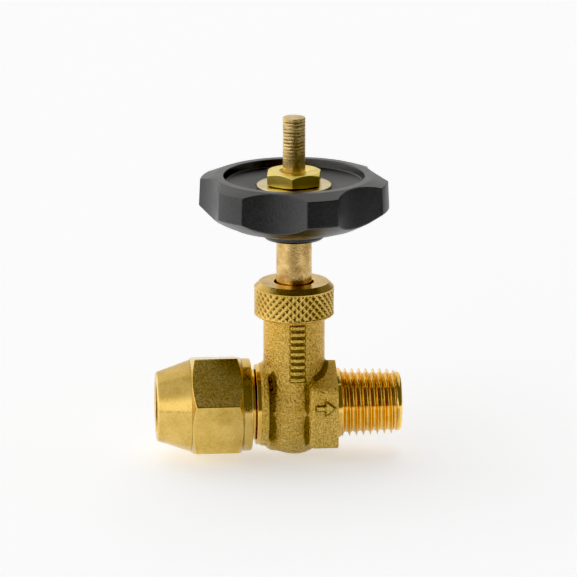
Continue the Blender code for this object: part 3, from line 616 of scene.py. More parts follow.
def new_group(name: str, inputs: dict[str, float], outputs: Sequence[str]) -> tuple[Graph, dict]:
    """Starts a shader node group.

    Args:
        name: Its name.
        inputs: Number inputs and their defaults; Position is always there as a vector.
        outputs: Names of its number outputs.

    Returns:
        The group's graph, and its input and output nodes as {"in": node, "out": node}.
    """
    tree = bpy.data.node_groups.new(name, "ShaderNodeTree")
    tree.interface.new_socket("Position", in_out="INPUT", socket_type="NodeSocketVector")
    for label, value in inputs.items():
        socket = tree.interface.new_socket(label, in_out="INPUT", socket_type="NodeSocketFloat")
        socket.default_value = value
    for label in outputs:
        tree.interface.new_socket(label, in_out="OUTPUT", socket_type="NodeSocketFloat")
    graph = Graph(tree)
    ends = {"in": graph.add("NodeGroupInput"), "out": graph.add("NodeGroupOutput")}
    return graph, ends


def stain_group() -> bpy.types.NodeTree:
    """Patches of tarnish: broad noise times fine noise, so that patches break up at their rims."""
    found = bpy.data.node_groups.get("stains")
    if found:
        return found
    graph, ends = new_group("stains", {"Scale": 0.3, "Cover": 0.5}, ["Mask"])
    place, scale = ends["in"].outputs["Position"], ends["in"].outputs["Scale"]
    broad = graph.noise(place, scale, 4.0)
    fine = graph.noise(place, graph.maths("MULTIPLY", scale, 7.0), 5.0)
    both = graph.weighted(broad, 0.7, fine)
    edge = graph.maths("SUBTRACT", 0.75, graph.maths("MULTIPLY", ends["in"].outputs["Cover"], 0.5))
    mask = graph.maths("MULTIPLY", graph.maths("SUBTRACT", both, edge), 3.6)
    graph.tree.links.new(graph.maths("ADD", mask, 0.5, clamp=True), ends["out"].inputs["Mask"])
    return graph.tree


def grain_group() -> bpy.types.NodeTree:
    """Grain of a blasted or moulded skin: rounded bumps from noise at two sizes."""
    found = bpy.data.node_groups.get("grain")
    if found:
        return found
    graph, ends = new_group("grain", {"Size": 0.4}, ["Height", "Speckle"])
    scale = graph.maths("DIVIDE", 1.0, ends["in"].outputs["Size"])
    place = ends["in"].outputs["Position"]
    coarse = graph.noise(place, scale, 1.0)
    fine = graph.noise(place, graph.maths("MULTIPLY", scale, 2.3), 1.5)
    height = graph.weighted(coarse, 0.65, fine)
    graph.tree.links.new(height, ends["out"].inputs["Height"])
    graph.tree.links.new(graph.ramp(height, 0.4, 0.6), ends["out"].inputs["Speckle"])
    return graph.tree


def lathe_group() -> bpy.types.NodeTree:
    """Rings left by a cutting tool: noise stretched round an axis, read from distance along it
    and distance from it."""
    found = bpy.data.node_groups.get("lathe_marks")
    if found:
        return found
    graph, ends = new_group("lathe_marks", {"Pitch": 0.1}, ["Height"])
    parts = graph.add("ShaderNodeSeparateXYZ", in0=ends["in"].outputs["Position"])
    flat = graph.add("ShaderNodeCombineXYZ", in0=parts.outputs[0], in1=parts.outputs[1], in2=0.0)
    radius = graph.length(flat.outputs[0])
    line = graph.add("ShaderNodeCombineXYZ", in0=radius, in1=parts.outputs[2], in2=0.0)
    scale = graph.maths("DIVIDE", 1.0, ends["in"].outputs["Pitch"])
    graph.tree.links.new(graph.noise(line.outputs[0], scale, 2.0), ends["out"].inputs["Height"])
    return graph.tree


def exposure_group() -> bpy.types.NodeTree:
    """Edges and crevices from the exposure attribute, broken up by noise; the crevice mask drives
    painted shade, with grime on the worn stud.
    """
    found = bpy.data.node_groups.get("exposure_masks")
    if found:
        return found
    graph, ends = new_group("exposure_masks", {"Scale": 1.0}, ["Edge", "Crevice"])
    value = graph.add("ShaderNodeAttribute", {"attribute_name": EXPOSURE}).outputs["Fac"]
    noise = graph.noise(ends["in"].outputs["Position"], ends["in"].outputs["Scale"], 3.0)
    rough = graph.maths("MULTIPLY_ADD", noise, 0.5, -0.25)
    edge = graph.ramp(graph.maths("ADD", value, rough), 0.6, 0.95)
    crevice = graph.ramp(graph.maths("ADD", value, rough), 0.42, 0.08)
    graph.tree.links.new(edge, ends["out"].inputs["Edge"])
    graph.tree.links.new(crevice, ends["out"].inputs["Crevice"])
    return graph.tree


Colour = tuple[float, float, float]


def opaque(colour: Colour) -> tuple[float, float, float, float]:
    """A colour with full alpha."""
    return (*colour, 1.0)


def millimetre_position(graph: Graph, axis: Axis = Axis.SPINDLE) -> bpy.types.NodeSocket:
    """Object coordinates in millimetres, turned so that the axis lies along Z."""
    place = graph.add("ShaderNodeTexCoord").outputs["Object"]
    turned = (0.0, -math.pi / 2, 0.0) if axis is Axis.PORT else (0.0, 0.0, 0.0)
    settings = {"vector_type": "POINT"}
    node = graph.add(
        "ShaderNodeMapping", settings, Vector=place, Rotation=turned, Scale=(1000.0, 1000.0, 1000.0)
    )
    return node.outputs[0]


@dataclass(frozen=True)
class Metal:
    """A bare metal finish.

    Attributes:
        name: The material's name.
        colour: Clean metal.
        tarnish: Stained metal.
        roughness: Of clean metal.
        tarnish_roughness: Of stained metal.
        cover: Share of the surface that is stained, from 0 to 1.
        patch: Size of the stains in millimetres.
        grain: Size of the skin's grain in millimetres, or 0 for none.
        grain_depth: Depth of the grain in millimetres.
        speckle: How much the grain's hollows darken, from 0 to 1.
        marks: The axis that tool marks run round, or None.
        marks_pitch: Their spacing in millimetres.
        marks_depth: Their depth in millimetres.
        edge: How much cleaner and brighter edges are, from 0 to 1.
        grime_and_shade: How dark crevices are, from 0 to 1; painted shade in hollows and folds, and
            grime in the stud's worn thread.
    """

    name: str
    colour: Colour
    tarnish: Colour
    roughness: float
    tarnish_roughness: float
    cover: float = 0.3
    patch: float = 4.0
    grain: float = 0.0
    grain_depth: float = 0.0
    speckle: float = 0.0
    marks: Axis | None = None
    marks_pitch: float = 0.12
    marks_depth: float = 0.0
    edge: float = 0.5
    grime_and_shade: float = 0.5

    def material(self) -> bpy.types.Material:
        """Builds the material, once."""
        found = bpy.data.materials.get(self.name)
        if found:
            return found
        made = bpy.data.materials.new(self.name)
        made.use_nodes = True
        graph = Graph(made.node_tree)
        shader = made.node_tree.nodes["Principled BSDF"]
        shader.inputs["Metallic"].default_value = 1.0
        place = millimetre_position(graph, self.marks or Axis.SPINDLE)
        stains = graph.group(stain_group(), place, Scale=1 / self.patch, Cover=self.cover)
        stains = stains.outputs["Mask"]
        masks = graph.group(exposure_group(), place)
        bright = tuple(min(1.0, c * BRIGHTER) for c in self.colour)
        dark = tuple(c * DARKER for c in self.tarnish)
        colour = graph.mix(stains, opaque(self.colour), opaque(self.tarnish))
        edge = graph.maths("MULTIPLY", masks.outputs["Edge"], self.edge)
        # Crevices darken towards the tarnish: painted shade in hollows and folds, and grime in the
        # stud's worn thread.
        grime_and_shade = graph.maths("MULTIPLY", masks.outputs["Crevice"], self.grime_and_shade)
        colour = graph.mix(grime_and_shade, graph.mix(edge, colour, opaque(bright)), opaque(dark))
        roughness = graph.blend(stains, self.roughness, self.tarnish_roughness)
        normal = None
        if self.grain:
            grain = graph.group(grain_group(), place, Size=self.grain)
            normal = graph.bump(grain.outputs["Height"], self.grain_depth)
            speckle = grain.outputs["Speckle"]
            lift = graph.blend(speckle, -GRAIN_SHEEN / 2, GRAIN_SHEEN / 2)
            roughness = graph.maths("ADD", roughness, lift, clamp=True)
            hollow = graph.maths("MULTIPLY", graph.maths("SUBTRACT", 1.0, speckle), self.speckle)
            colour = graph.mix(hollow, colour, opaque(dark))
        if self.marks:
            marks = graph.group(lathe_group(), place, Pitch=self.marks_pitch)
            normal = graph.bump(marks.outputs["Height"], self.marks_depth, normal)
        made.node_tree.links.new(colour, shader.inputs["Base Color"])
        made.node_tree.links.new(roughness, shader.inputs["Roughness"])
        if normal is not None:
            made.node_tree.links.new(normal, shader.inputs["Normal"])
        return made


@dataclass(frozen=True)
class Plastic:
    """A moulded plastic finish with a fine grain and rubbed edges.

    Attributes:
        name: The material's name.
        colour: The plastic.
        rubbed: Its peaks and edges.
        roughness: Of the cleanest parts.
        grain: Size of the grain in millimetres.
        grain_depth: Depth of the grain in millimetres.
        gloss: Specular level.
    """

    name: str
    colour: Colour
    rubbed: Colour
    roughness: float
    grain: float
    grain_depth: float
    gloss: float

    def material(self) -> bpy.types.Material:
        """Builds the material, once."""
        found = bpy.data.materials.get(self.name)
        if found:
            return found
        made = bpy.data.materials.new(self.name)
        made.use_nodes = True
        graph = Graph(made.node_tree)
        shader = made.node_tree.nodes["Principled BSDF"]
        shader.inputs["Specular IOR Level"].default_value = self.gloss
        place = millimetre_position(graph)
        grain = graph.group(grain_group(), place, Size=self.grain)
        stains = graph.group(stain_group(), place, Scale=0.16, Cover=0.5).outputs["Mask"]
        masks = graph.group(exposure_group(), place, Scale=0.8)
        speckle = graph.maths("MULTIPLY", grain.outputs["Speckle"], 0.25)
        colour = graph.mix(speckle, opaque(self.colour), opaque(self.rubbed))
        edge = graph.maths("MULTIPLY", masks.outputs["Edge"], 0.15)
        colour = graph.mix(edge, colour, opaque(self.rubbed))
        roughness = graph.blend(stains, self.roughness, self.roughness + 0.08)
        normal = graph.bump(grain.outputs["Height"], self.grain_depth)
        made.node_tree.links.new(colour, shader.inputs["Base Color"])
        made.node_tree.links.new(roughness, shader.inputs["Roughness"])
        made.node_tree.links.new(normal, shader.inputs["Normal"])
        return made


CAST_BRASS = Metal(
    "blasted_brass", (0.99, 0.67, 0.18), (0.88, 0.55, 0.11), 0.30, 0.38, cover=0.4, patch=9.0,
    grain=0.4, grain_depth=0.5, speckle=0.42, edge=0.35, grime_and_shade=0.9,
)
NUT_BRASS = Metal(
    "nut_brass", (0.80, 0.55, 0.165), (0.58, 0.385, 0.085), 0.19, 0.27, cover=0.4, patch=4.0,
    grain=0.45, grain_depth=0.005, speckle=0.1, marks=Axis.PORT, marks_pitch=0.16,
    marks_depth=0.006, edge=0.5, grime_and_shade=0.5,
)
THREAD_BRASS = Metal(
    "thread_brass", (0.93, 0.59, 0.16), (0.72, 0.41, 0.08), 0.15, 0.22, cover=0.25, patch=3.0,
    marks=Axis.PORT, marks_pitch=0.1, marks_depth=0.003, edge=0.7, grime_and_shade=0.35,
)
KNURL_BRASS = Metal(
    "knurl_brass", (0.76, 0.52, 0.155), (0.54, 0.34, 0.07), 0.22, 0.34, cover=0.35, patch=4.0,
    grain=0.4, grain_depth=0.006, speckle=0.12, marks=Axis.SPINDLE, marks_pitch=0.14,
    marks_depth=0.004, edge=0.5, grime_and_shade=0.75,
)
SPINDLE_BRASS = Metal(
    "shank_brass", (0.82, 0.58, 0.24), (0.52, 0.31, 0.11), 0.2, 0.36, cover=0.45, patch=2.0,
    grain=0.4, grain_depth=0.02, speckle=0.1, marks=Axis.SPINDLE, marks_pitch=0.12,
    marks_depth=0.004, edge=0.4, grime_and_shade=0.9,
)
STUD_BRASS = Metal(
    "stud_brass", (0.95, 0.69, 0.28), (0.58, 0.43, 0.20), 0.3, 0.42, cover=0.5, patch=1.3,
    grain=0.35, grain_depth=0.04, speckle=0.2, marks=Axis.SPINDLE, marks_pitch=0.3,
    marks_depth=0.03, edge=0.3, grime_and_shade=0.8,
)
BRIGHT_BRASS = Metal(
    "bright_brass", (0.96, 0.76, 0.22), (0.76, 0.55, 0.10), 0.36, 0.42, cover=0.3, patch=3.0,
    marks=Axis.SPINDLE, marks_pitch=0.1, marks_depth=0.003, edge=0.5, grime_and_shade=0.6,
)
PALE_BRASS = Metal(
    "pale_brass", (0.80, 0.69, 0.40), (0.64, 0.50, 0.22), 0.3, 0.4, cover=0.3, patch=3.0,
    marks=Axis.SPINDLE, marks_pitch=0.12, marks_depth=0.004, edge=0.3, grime_and_shade=0.5,
)
STEEL = Metal(
    "valve_steel", (0.62, 0.62, 0.62), (0.45, 0.44, 0.42), 0.2, 0.3, cover=0.2, patch=2.0,
    marks=Axis.SPINDLE, marks_pitch=0.08, marks_depth=0.003, edge=0.0, grime_and_shade=0.0,
)
INNER_BRASS = replace(BRIGHT_BRASS, name="inner_brass", edge=0.0, grime_and_shade=0.0)
BLACK_PLASTIC = Plastic(
    "wheel_plastic", (0.012, 0.012, 0.0125), (0.05, 0.05, 0.05), 0.3, 0.42, 0.05, gloss=1.0
)
WHITE_PLASTIC = Plastic(
    "packing_ptfe", (0.80, 0.80, 0.77), (0.86, 0.86, 0.84), 0.55, 0.5, 0.02, gloss=0.5
)


# --------------------------------------------------------------------------- pieces


@dataclass
class Workshop:
    """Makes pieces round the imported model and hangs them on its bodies."""

    frame: dict
    made: list[str] = field(default_factory=list)

    def box(self, node: str) -> tuple[Vector, Vector]:
        """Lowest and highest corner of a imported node, in millimetres."""
        low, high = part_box(node)
        return low / MM, high / MM

    def piece(
        self,
        name: str,
        shells: Sequence[Shell],
        finish: Metal | Plastic,
        body: str,
        nodes: Sequence[str],
    ) -> bpy.types.Object:
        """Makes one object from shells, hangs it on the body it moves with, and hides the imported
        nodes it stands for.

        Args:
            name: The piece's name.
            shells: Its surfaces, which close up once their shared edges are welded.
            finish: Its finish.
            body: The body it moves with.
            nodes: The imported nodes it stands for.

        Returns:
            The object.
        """
        starts = np.cumsum([0] + [len(shell.points) for shell in shells])
        points = np.concatenate([shell.points for shell in shells]) * MM
        faces = np.concatenate([shell.faces + s for shell, s in zip(shells, starts)])
        mesh = bpy.data.meshes.new(name)
        mesh.from_pydata(points.tolist(), [], faces.tolist())
        exposure = mesh.attributes.new(EXPOSURE, "FLOAT", "POINT")
        values = np.concatenate([shell.exposure for shell in shells]).astype(np.float32)
        exposure.data.foreach_set("value", values)
        bm = bmesh.new()
        bm.from_mesh(mesh)
        bmesh.ops.remove_doubles(bm, verts=bm.verts, dist=WELD_DISTANCE)
        bmesh.ops.recalc_face_normals(bm, faces=bm.faces)
        loose = [e for e in bm.edges if len(e.link_faces) != 2]
        triangles = sum(len(f.verts) - 2 for f in bm.faces)
        bm.to_mesh(mesh)
        bm.free()
        mesh.shade_smooth()
        mesh.materials.append(finish.material())
        obj = bpy.data.objects.new(name, mesh)
        bpy.context.scene.collection.objects.link(obj)
        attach(obj, body)
        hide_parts(*nodes)
        self.made.append(name)
        LOG.info("%s: %d triangles, %d open edges", name, triangles, len(loose))
        return obj


@dataclass
class Body:
    """The forging with its flow arrow and raised bars, and the threads cut on its three ends."""

    neck_radius: float = 6.15
    neck_top: float = 19.2
    stuffing_box_radius: float = 4.7
    belly_radius: float = 7.7
    belly_z: float = -0.2
    floor_z: float = -10.1
    flare_height: float = 7.9
    belly_taper: float = 0.30
    dome_radius: float = 11.0
    core_radius: float = 6.6
    core_waist: float = 6.3
    core_end: float = 4.0
    shoulder: tuple[float, float] = (-7.1, -5.5)
    shoulder_radius: float = 8.35
    block: tuple[float, float] = (2.45, 8.35)
    block_half_width: float = 8.0
    block_apex: float = 8.9
    block_eaves: float = 4.8
    block_floor: float = -7.4
    bar_count: int = 9
    bar_half_width: float = 1.45
    bar_half_height: float = 0.36
    bar_proud: float = 0.42
    bars: tuple[float, float] = (6.6, 17.3)
    bars_x: float = 0.25
    arrow_tail: float = 3.9
    arrow_length: float = 3.7
    arrow_head_share: float = 0.47
    arrow_head_half_height: float = 1.25
    arrow_shaft_half_height: float = 0.42
    arrow_z: float = 1.1
    arrow_proud: float = 0.5
    socket_radius: float = 5.15
    tube_stop: float = -11.0
    cone_depth: float = 2.7
    cone_half_angle: float = math.radians(23)
    ring_radius: float = 8.1
    inlet_radius: float = 3.6
    inlet_end: float = -7.5
    outlet_radius: float = 3.5
    throat_radius: float = 2.3
    throat: tuple[float, float] = (1.5, 6.5)
    slope_radius: float = 1.1
    slope_start: tuple[float, float] = (-8.4, -2.4)
    slope_run: tuple[float, float] = (7.6, 4.7)
    seat_radius: float = 2.75
    seat_pocket: tuple[float, float] = (-4.25, -2.8)
    lower_radius: float = 2.1
    lower_chamber: tuple[float, float] = (-8.0, -4.0)
    chamber_radius: float = 4.1
    upper_chamber: tuple[float, float] = (-2.9, 2.7)
    thread_bore: float = 3.9
    threaded: tuple[float, float] = (2.5, 9.7)
    relief_radius: float = 4.15
    relief: tuple[float, float] = (9.6, 12.3)
    stuffing_box_floor: float = 12.2
    casting_box: tuple[tuple[float, ...], tuple[float, ...]] = (
        (-11.2, -8.8, -10.2), (8.8, 8.8, 19.6)
    )
    cell: float = 0.19
    fold_reach: tuple[float, float] = (0.3, 1.6)
    outlet_crest: float = 6.99
    outlet_depth: float = 0.98
    outlet_pitch: float = 1.411
    outlet_taper: float = 1 / 32
    nose_radius: float = 5.92
    nose_slope: float = 2.2
    crest_flat: float = 0.03
    run_out: float = 1.0
    valley_power: float = 2.6
    thread_start: float = 0.86

    def build(self, shop: Workshop) -> None:
        """Makes the casting, the outlet spigot, the inlet stub and the neck's thread."""
        casting = surface_net(self.solid, *self.casting_box, self.cell)
        casting.exposure = curvature_exposure(self.solid, casting.points, *self.fold_reach)
        pieces = [
            ("body_casting", [casting], CAST_BRASS),
            ("outlet_spigot", self.spigot(shop), THREAD_BRASS),
            ("inlet_stub", self.stub(shop), THREAD_BRASS),
            ("neck_thread", self.neck_thread(shop), KNURL_BRASS),
        ]
        for name, shells, finish in pieces:
            shop.piece(name, shells, finish, "valve_body", ["valve_body"])

    def column(self, x: Array, y: Array, z: Array) -> Array:
        """Neck, belly and floor: a column that flares from the neck down to a ridge, tapers in
        below it, and ends in a shallow dome.  The factors 0.96 and 0.85 keep the values of the
        slanting sides close to distances."""
        rho = np.hypot(x, y)
        spread = self.belly_radius - self.neck_radius
        fall = np.clip((self.belly_z + self.flare_height - z) / self.flare_height, 0, 1.4)
        upper = rho - self.neck_radius - spread * fall**1.9
        lower = (rho - self.belly_radius - self.belly_taper * (z - self.belly_z)) * 0.96
        dome = (self.floor_z - z + rho**2 / (2 * self.dome_radius)) * 0.85
        side = smooth_max(upper, lower, 0.35)
        return smooth_max(smooth_max(side, dome, 2.6), z - self.neck_top, 0.15)

    def run(self, x: Array, y: Array, z: Array) -> Array:
        """Core and shoulder disc round the port axis."""
        rho = np.hypot(y, z)
        ends = np.maximum(self.tube_stop - x, x - self.core_end)
        core = np.maximum(smooth_max(rho - self.core_radius, ends, 0.1), rho - self.core_waist)
        start, end = self.shoulder
        disc = smooth_max(rho - self.shoulder_radius, np.maximum(start - x, x - end), 0.45)
        return smooth_min(core, disc, 1.1)

    def spanner_block(self, x: Array, y: Array, z: Array) -> Array:
        """Flat-sided block with a gabled top."""
        width = np.abs(y)
        slope = (self.block_apex - self.block_eaves) / self.block_half_width
        roof = (z - self.block_apex + slope * width) / math.hypot(1, slope)
        side = smooth_max(width - self.block_half_width, self.block_floor - z, 0.8)
        outline = smooth_max(side, roof, 1.0)
        start, end = self.block
        return smooth_max(smooth_max(outline, start - x, 1.2), x - end, 0.3)

    def arrow(self, x: Array, y: Array, z: Array) -> Array:
        """Raised arrow: a bar and a triangle, pointing to +X."""
        tip = self.arrow_tail + self.arrow_length
        head = self.arrow_length * self.arrow_head_share
        high = np.abs(z - self.arrow_z)
        ends = np.maximum(self.arrow_tail - x, x - tip + head * 0.8)
        shaft = np.maximum(high - self.arrow_shaft_half_height, ends)
        slant = self.arrow_head_half_height / head
        point = np.maximum((high - (tip - x) * slant) / math.hypot(1, slant), tip - head - x)
        flat = np.minimum(shaft, point)
        return smooth_max(flat, np.abs(y + self.block_half_width) - self.arrow_proud, 0.16)

    def raised_bars(self, x: Array, y: Array, z: Array) -> Array:
        """A column of plain bars that stand out from the front of the neck."""
        low, high = self.bars
        spacing = (high - low) / (self.bar_count - 1)
        nearest = low + spacing * np.clip(np.round((z - low) / spacing), 0, self.bar_count - 1)
        flat = smooth_max(
            np.abs(x - self.bars_x) - self.bar_half_width,
            np.abs(z - nearest) - self.bar_half_height, 0.2,
        )
        skin = np.hypot(x, y) - self.neck_radius - self.bar_proud
        return smooth_max(np.maximum(flat, y + 3), skin, 0.16)

    def bores(self, x: Array, y: Array, z: Array) -> Array:
        """Everything that is drilled out of the casting: the upper chamber with its coned floor,
        the sloping passage from the inlet, and cylinders along the port and the spindle."""
        port, stem = np.hypot(y, z), np.hypot(x, y)
        clear = 0.3
        drilled = [
            (port, x, self.inlet_radius, -math.inf, self.inlet_end),
            (port, x, self.throat_radius, *self.throat),
            (port, x, self.outlet_radius, self.throat[1], math.inf),
            (port, x, self.outlet_radius + clear, self.block[1] - 0.5, math.inf),
            (stem, z, self.seat_radius, *self.seat_pocket),
            (stem, z, self.lower_radius, *self.lower_chamber),
            (stem, z, self.thread_bore, *self.threaded),
            (stem, z, self.relief_radius, *self.relief),
            (stem, z, self.stuffing_box_radius, self.stuffing_box_floor, math.inf),
            (stem, z, self.stuffing_box_radius + clear, self.neck_top - 0.5, math.inf),
        ]
        low, high = self.upper_chamber
        cone = (stem - self.seat_radius - (z - low)) * 0.7
        ends = np.maximum(low - z, z - high)
        cut = np.maximum(np.maximum(stem - self.chamber_radius, cone), ends)
        (x0, z0), (reach, fall) = self.slope_start, self.slope_run
        along = np.clip((x - x0) / reach, 0, 1)
        across = np.hypot(x - x0 - reach * along, y)
        cut = np.minimum(cut, np.hypot(across, z - z0 + fall * along) - self.slope_radius)
        for rho, place, radius, start, end in drilled:
            cut = np.minimum(cut, np.maximum(rho - radius, np.maximum(start - place, place - end)))
        return cut

    def solid(self, x: Array, y: Array, z: Array) -> Array:
        """The whole casting: negative inside the metal.  The shoulder runs down into the dome with
        a wider blend than elsewhere."""
        sweep = smooth_step(-6.4, -5.2, x) * smooth_step(2.0, 8.0, -z)
        outside = smooth_min(self.column(x, y, z), self.run(x, y, z), 1.3 + 2.2 * sweep)
        outside = smooth_min(outside, self.spanner_block(x, y, z), 0.7)
        outside = smooth_min(outside, self.raised_bars(x, y, z), 0.14)
        outside = smooth_min(outside, self.arrow(x, y, z), 0.14)
        return smooth_max(outside, -self.bores(x, y, z), 0.1)

    def spigot(self, shop: Workshop) -> list[Shell]:
        """Outlet spigot: a collar, a 1:16 taper thread with round valleys and sharp crests, and a
        plain nose.

        The thread's height is depth * |2 * phase - 1| ^ valley_power.  Its valleys rise out of
        the metal towards the collar, and its last turn is turned down to the nose.
        """
        end = shop.box("valve_body")[1].x
        start = self.block[1] - 0.4
        collar_end, nose_start = self.block[1] + 0.7, end - 1.05
        crest, nose = self.outlet_crest, self.nose_radius
        angles = crowded_angles(144)

        def radius(angle: Array, along: Array) -> tuple[Array, Array]:
            phase = (thread_phase(angle, along, self.outlet_pitch) + self.thread_start) % 1
            top = crest - (along - collar_end) * self.outlet_taper
            height = np.abs(2 * phase - 1) ** self.valley_power
            cut = np.minimum(top - self.outlet_depth * (1 - height), top - self.crest_flat)
            run_out = smooth_step(0.0, self.run_out, along - collar_end)
            cut = np.maximum(cut, top - self.outlet_depth * run_out)
            limit = nose + (nose_start - along) * self.nose_slope
            size = smooth_min(cut, np.maximum(limit, nose), 0.02)
            size = np.where(along <= collar_end, crest, np.where(along >= nose_start, nose, size))
            return size, np.clip(height**3, 0.35, 1)

        thread = helical_shell(
            collar_end, nose_start, self.outlet_pitch, len(angles), 14, radius, Axis.PORT
        )
        rest = turned_shell(
            [
                Corner(nose, nose_start),
                Corner(nose, end, 0.5),
                Corner(self.outlet_radius, end, 0.35),
                Corner(self.outlet_radius, start, 0.1),
                Corner(crest, start, 0.1),
                Corner(crest, collar_end),
            ],
            angles, Axis.PORT, closed=False,
        )
        return [thread, rest]

    def stub(self, shop: Workshop) -> list[Shell]:
        """Inlet stub: the compression thread, a relief groove, and a ring on the shoulder."""
        start = shop.box("valve_body")[0].x
        angles = crowded_angles(120)
        thread = Thread(7.8, 0.75, 1.5, (start, 1.1), (-9.3, 3))
        cone = self.socket_radius + self.cone_depth * math.tan(self.cone_half_angle)
        ring_start, ring_end = self.shoulder[0] - 0.85, self.shoulder[0] + 0.2
        buried, inside = 6.0, self.tube_stop + 0.3
        rest = turned_shell(
            [
                Corner(thread.root, thread.ends[0]),
                Corner(thread.root, ring_start, 0.3),
                Corner(self.ring_radius, ring_start, 0.15),
                Corner(self.ring_radius, ring_end, 0.05),
                Corner(buried, ring_end, 0.05),
                Corner(buried, inside, 0.05),
                Corner(self.socket_radius, inside, 0.05),
                Corner(self.socket_radius, start + self.cone_depth, 0.1),
                Corner(cone, start, 0.15),
                Corner(thread.root, start),
            ],
            angles, Axis.PORT, closed=False,
        )
        return [thread.shell(len(angles), 10, Axis.PORT), rest]

    def neck_thread(self, shop: Workshop) -> list[Shell]:
        """Thread on the neck's end, which the gland nut runs on, and the stuffing box's mouth."""
        top = shop.box("valve_body")[1].z
        start, buried = self.neck_top + 0.3, self.neck_top - 0.3
        angles = crowded_angles(96)
        thread = Thread(5.85, 0.5, 1.0, (start, 3), (top, 1.2))
        rest = turned_shell(
            [
                Corner(thread.root, top),
                Corner(self.stuffing_box_radius, top, 0.15),
                Corner(self.stuffing_box_radius, buried, 0.05),
                Corner(thread.root, buried, 0.05),
                Corner(thread.root, start),
            ],
            angles, Axis.SPINDLE, closed=False,
        )
        return [thread.shell(len(angles), 8, Axis.SPINDLE), rest]


@dataclass
class CompressionNut:
    """Hexagon nut with a conical nose, and the olive inside it."""

    flats: float = 19.0
    turn: float = math.radians(-13.4 - 180)
    nose_radius: float = 6.9
    cone_end: float = -21.0
    cone_end_radius: float = 9.27
    chamfer_slope: float = 2.13
    collar_x: float = -10.7
    collar_radius: float = 9.33
    collar_slope: float = 1.64
    mouth_radius: float = 5.15
    thread_radius: float = 7.95
    thread_depth: float = 0.45
    thread_pitch: float = 1.5
    thread_turns: int = 7
    thread_floor: float = -20.0
    seat_radius: float = 7.2
    seat_x: float = -22.1
    olive_radius: float = 6.8

    def build(self, shop: Workshop) -> None:
        """Makes the nut and the olive."""
        shop.piece(
            "compression_nut_shell", self.nut(shop), NUT_BRASS, "compression_nut",
            ["compression_nut"],
        )
        shop.piece("olive_ring", self.olive(shop), NUT_BRASS, "olive", ["olive"])

    def nut(self, shop: Workshop) -> list[Shell]:
        """The nut: the hexagon's distance from the axis decides, at each angle, where the cones at
        its two ends meet its sides.  Inside are rings of a thread and the olive's conical seat."""
        low, high = shop.box("compression_nut")
        angles = crowded_angles(336, regular_corners(6, self.turn), 0.05, 8)
        side = polygon_radius(angles, 6, self.flats, self.turn, 190)
        left = self.cone_end + (side - self.cone_end_radius) / self.chamfer_slope
        right = self.collar_x - (side - self.collar_radius) / self.collar_slope
        inner, groove = self.thread_radius, self.thread_radius + self.thread_depth
        outline = [
            Corner(self.mouth_radius, low.x, 0.3),
            Corner(self.nose_radius, low.x, 0.45),
            Corner(self.cone_end_radius, self.cone_end, 0.2),
            Corner(side, left, 0.18),
            Corner(side, right, 0.2),
            Corner(self.collar_radius, self.collar_x, 0.25),
            Corner(self.collar_radius - 0.05, high.x, 0.3),
            Corner(inner + 0.5, high.x, 0.15),
        ]
        for turn in range(self.thread_turns):
            crest = high.x - 0.5 - self.thread_pitch * turn
            outline += [
                Corner(inner, crest, 0.05),
                Corner(inner, crest - 0.4, 0.05),
                Corner(groove, crest - 0.95, 0.1),
            ]
        outline += [
            Corner(inner, self.thread_floor, 0.1),
            Corner(self.seat_radius, self.thread_floor, 0.1),
            Corner(self.mouth_radius, self.seat_x, 0.3),
        ]
        return [turned_shell(outline, angles, Axis.PORT)]

    def olive(self, shop: Workshop) -> list[Shell]:
        """Barrel-shaped ring with a cone at each end."""
        low, high = shop.box("olive")
        outline = [
            Corner(self.mouth_radius, low.x, 0.1),
            Corner(5.65, low.x, 0.2),
            Corner(self.olive_radius, low.x + 1.7, 0.3),
            Corner(self.olive_radius, high.x - 2.1, 0.3),
            Corner(5.95, high.x - 1.8, 0.2),
            Corner(5.55, high.x, 0.2),
            Corner(self.mouth_radius, high.x, 0.1),
        ]
        return [turned_shell(outline, crowded_angles(120), Axis.PORT)]


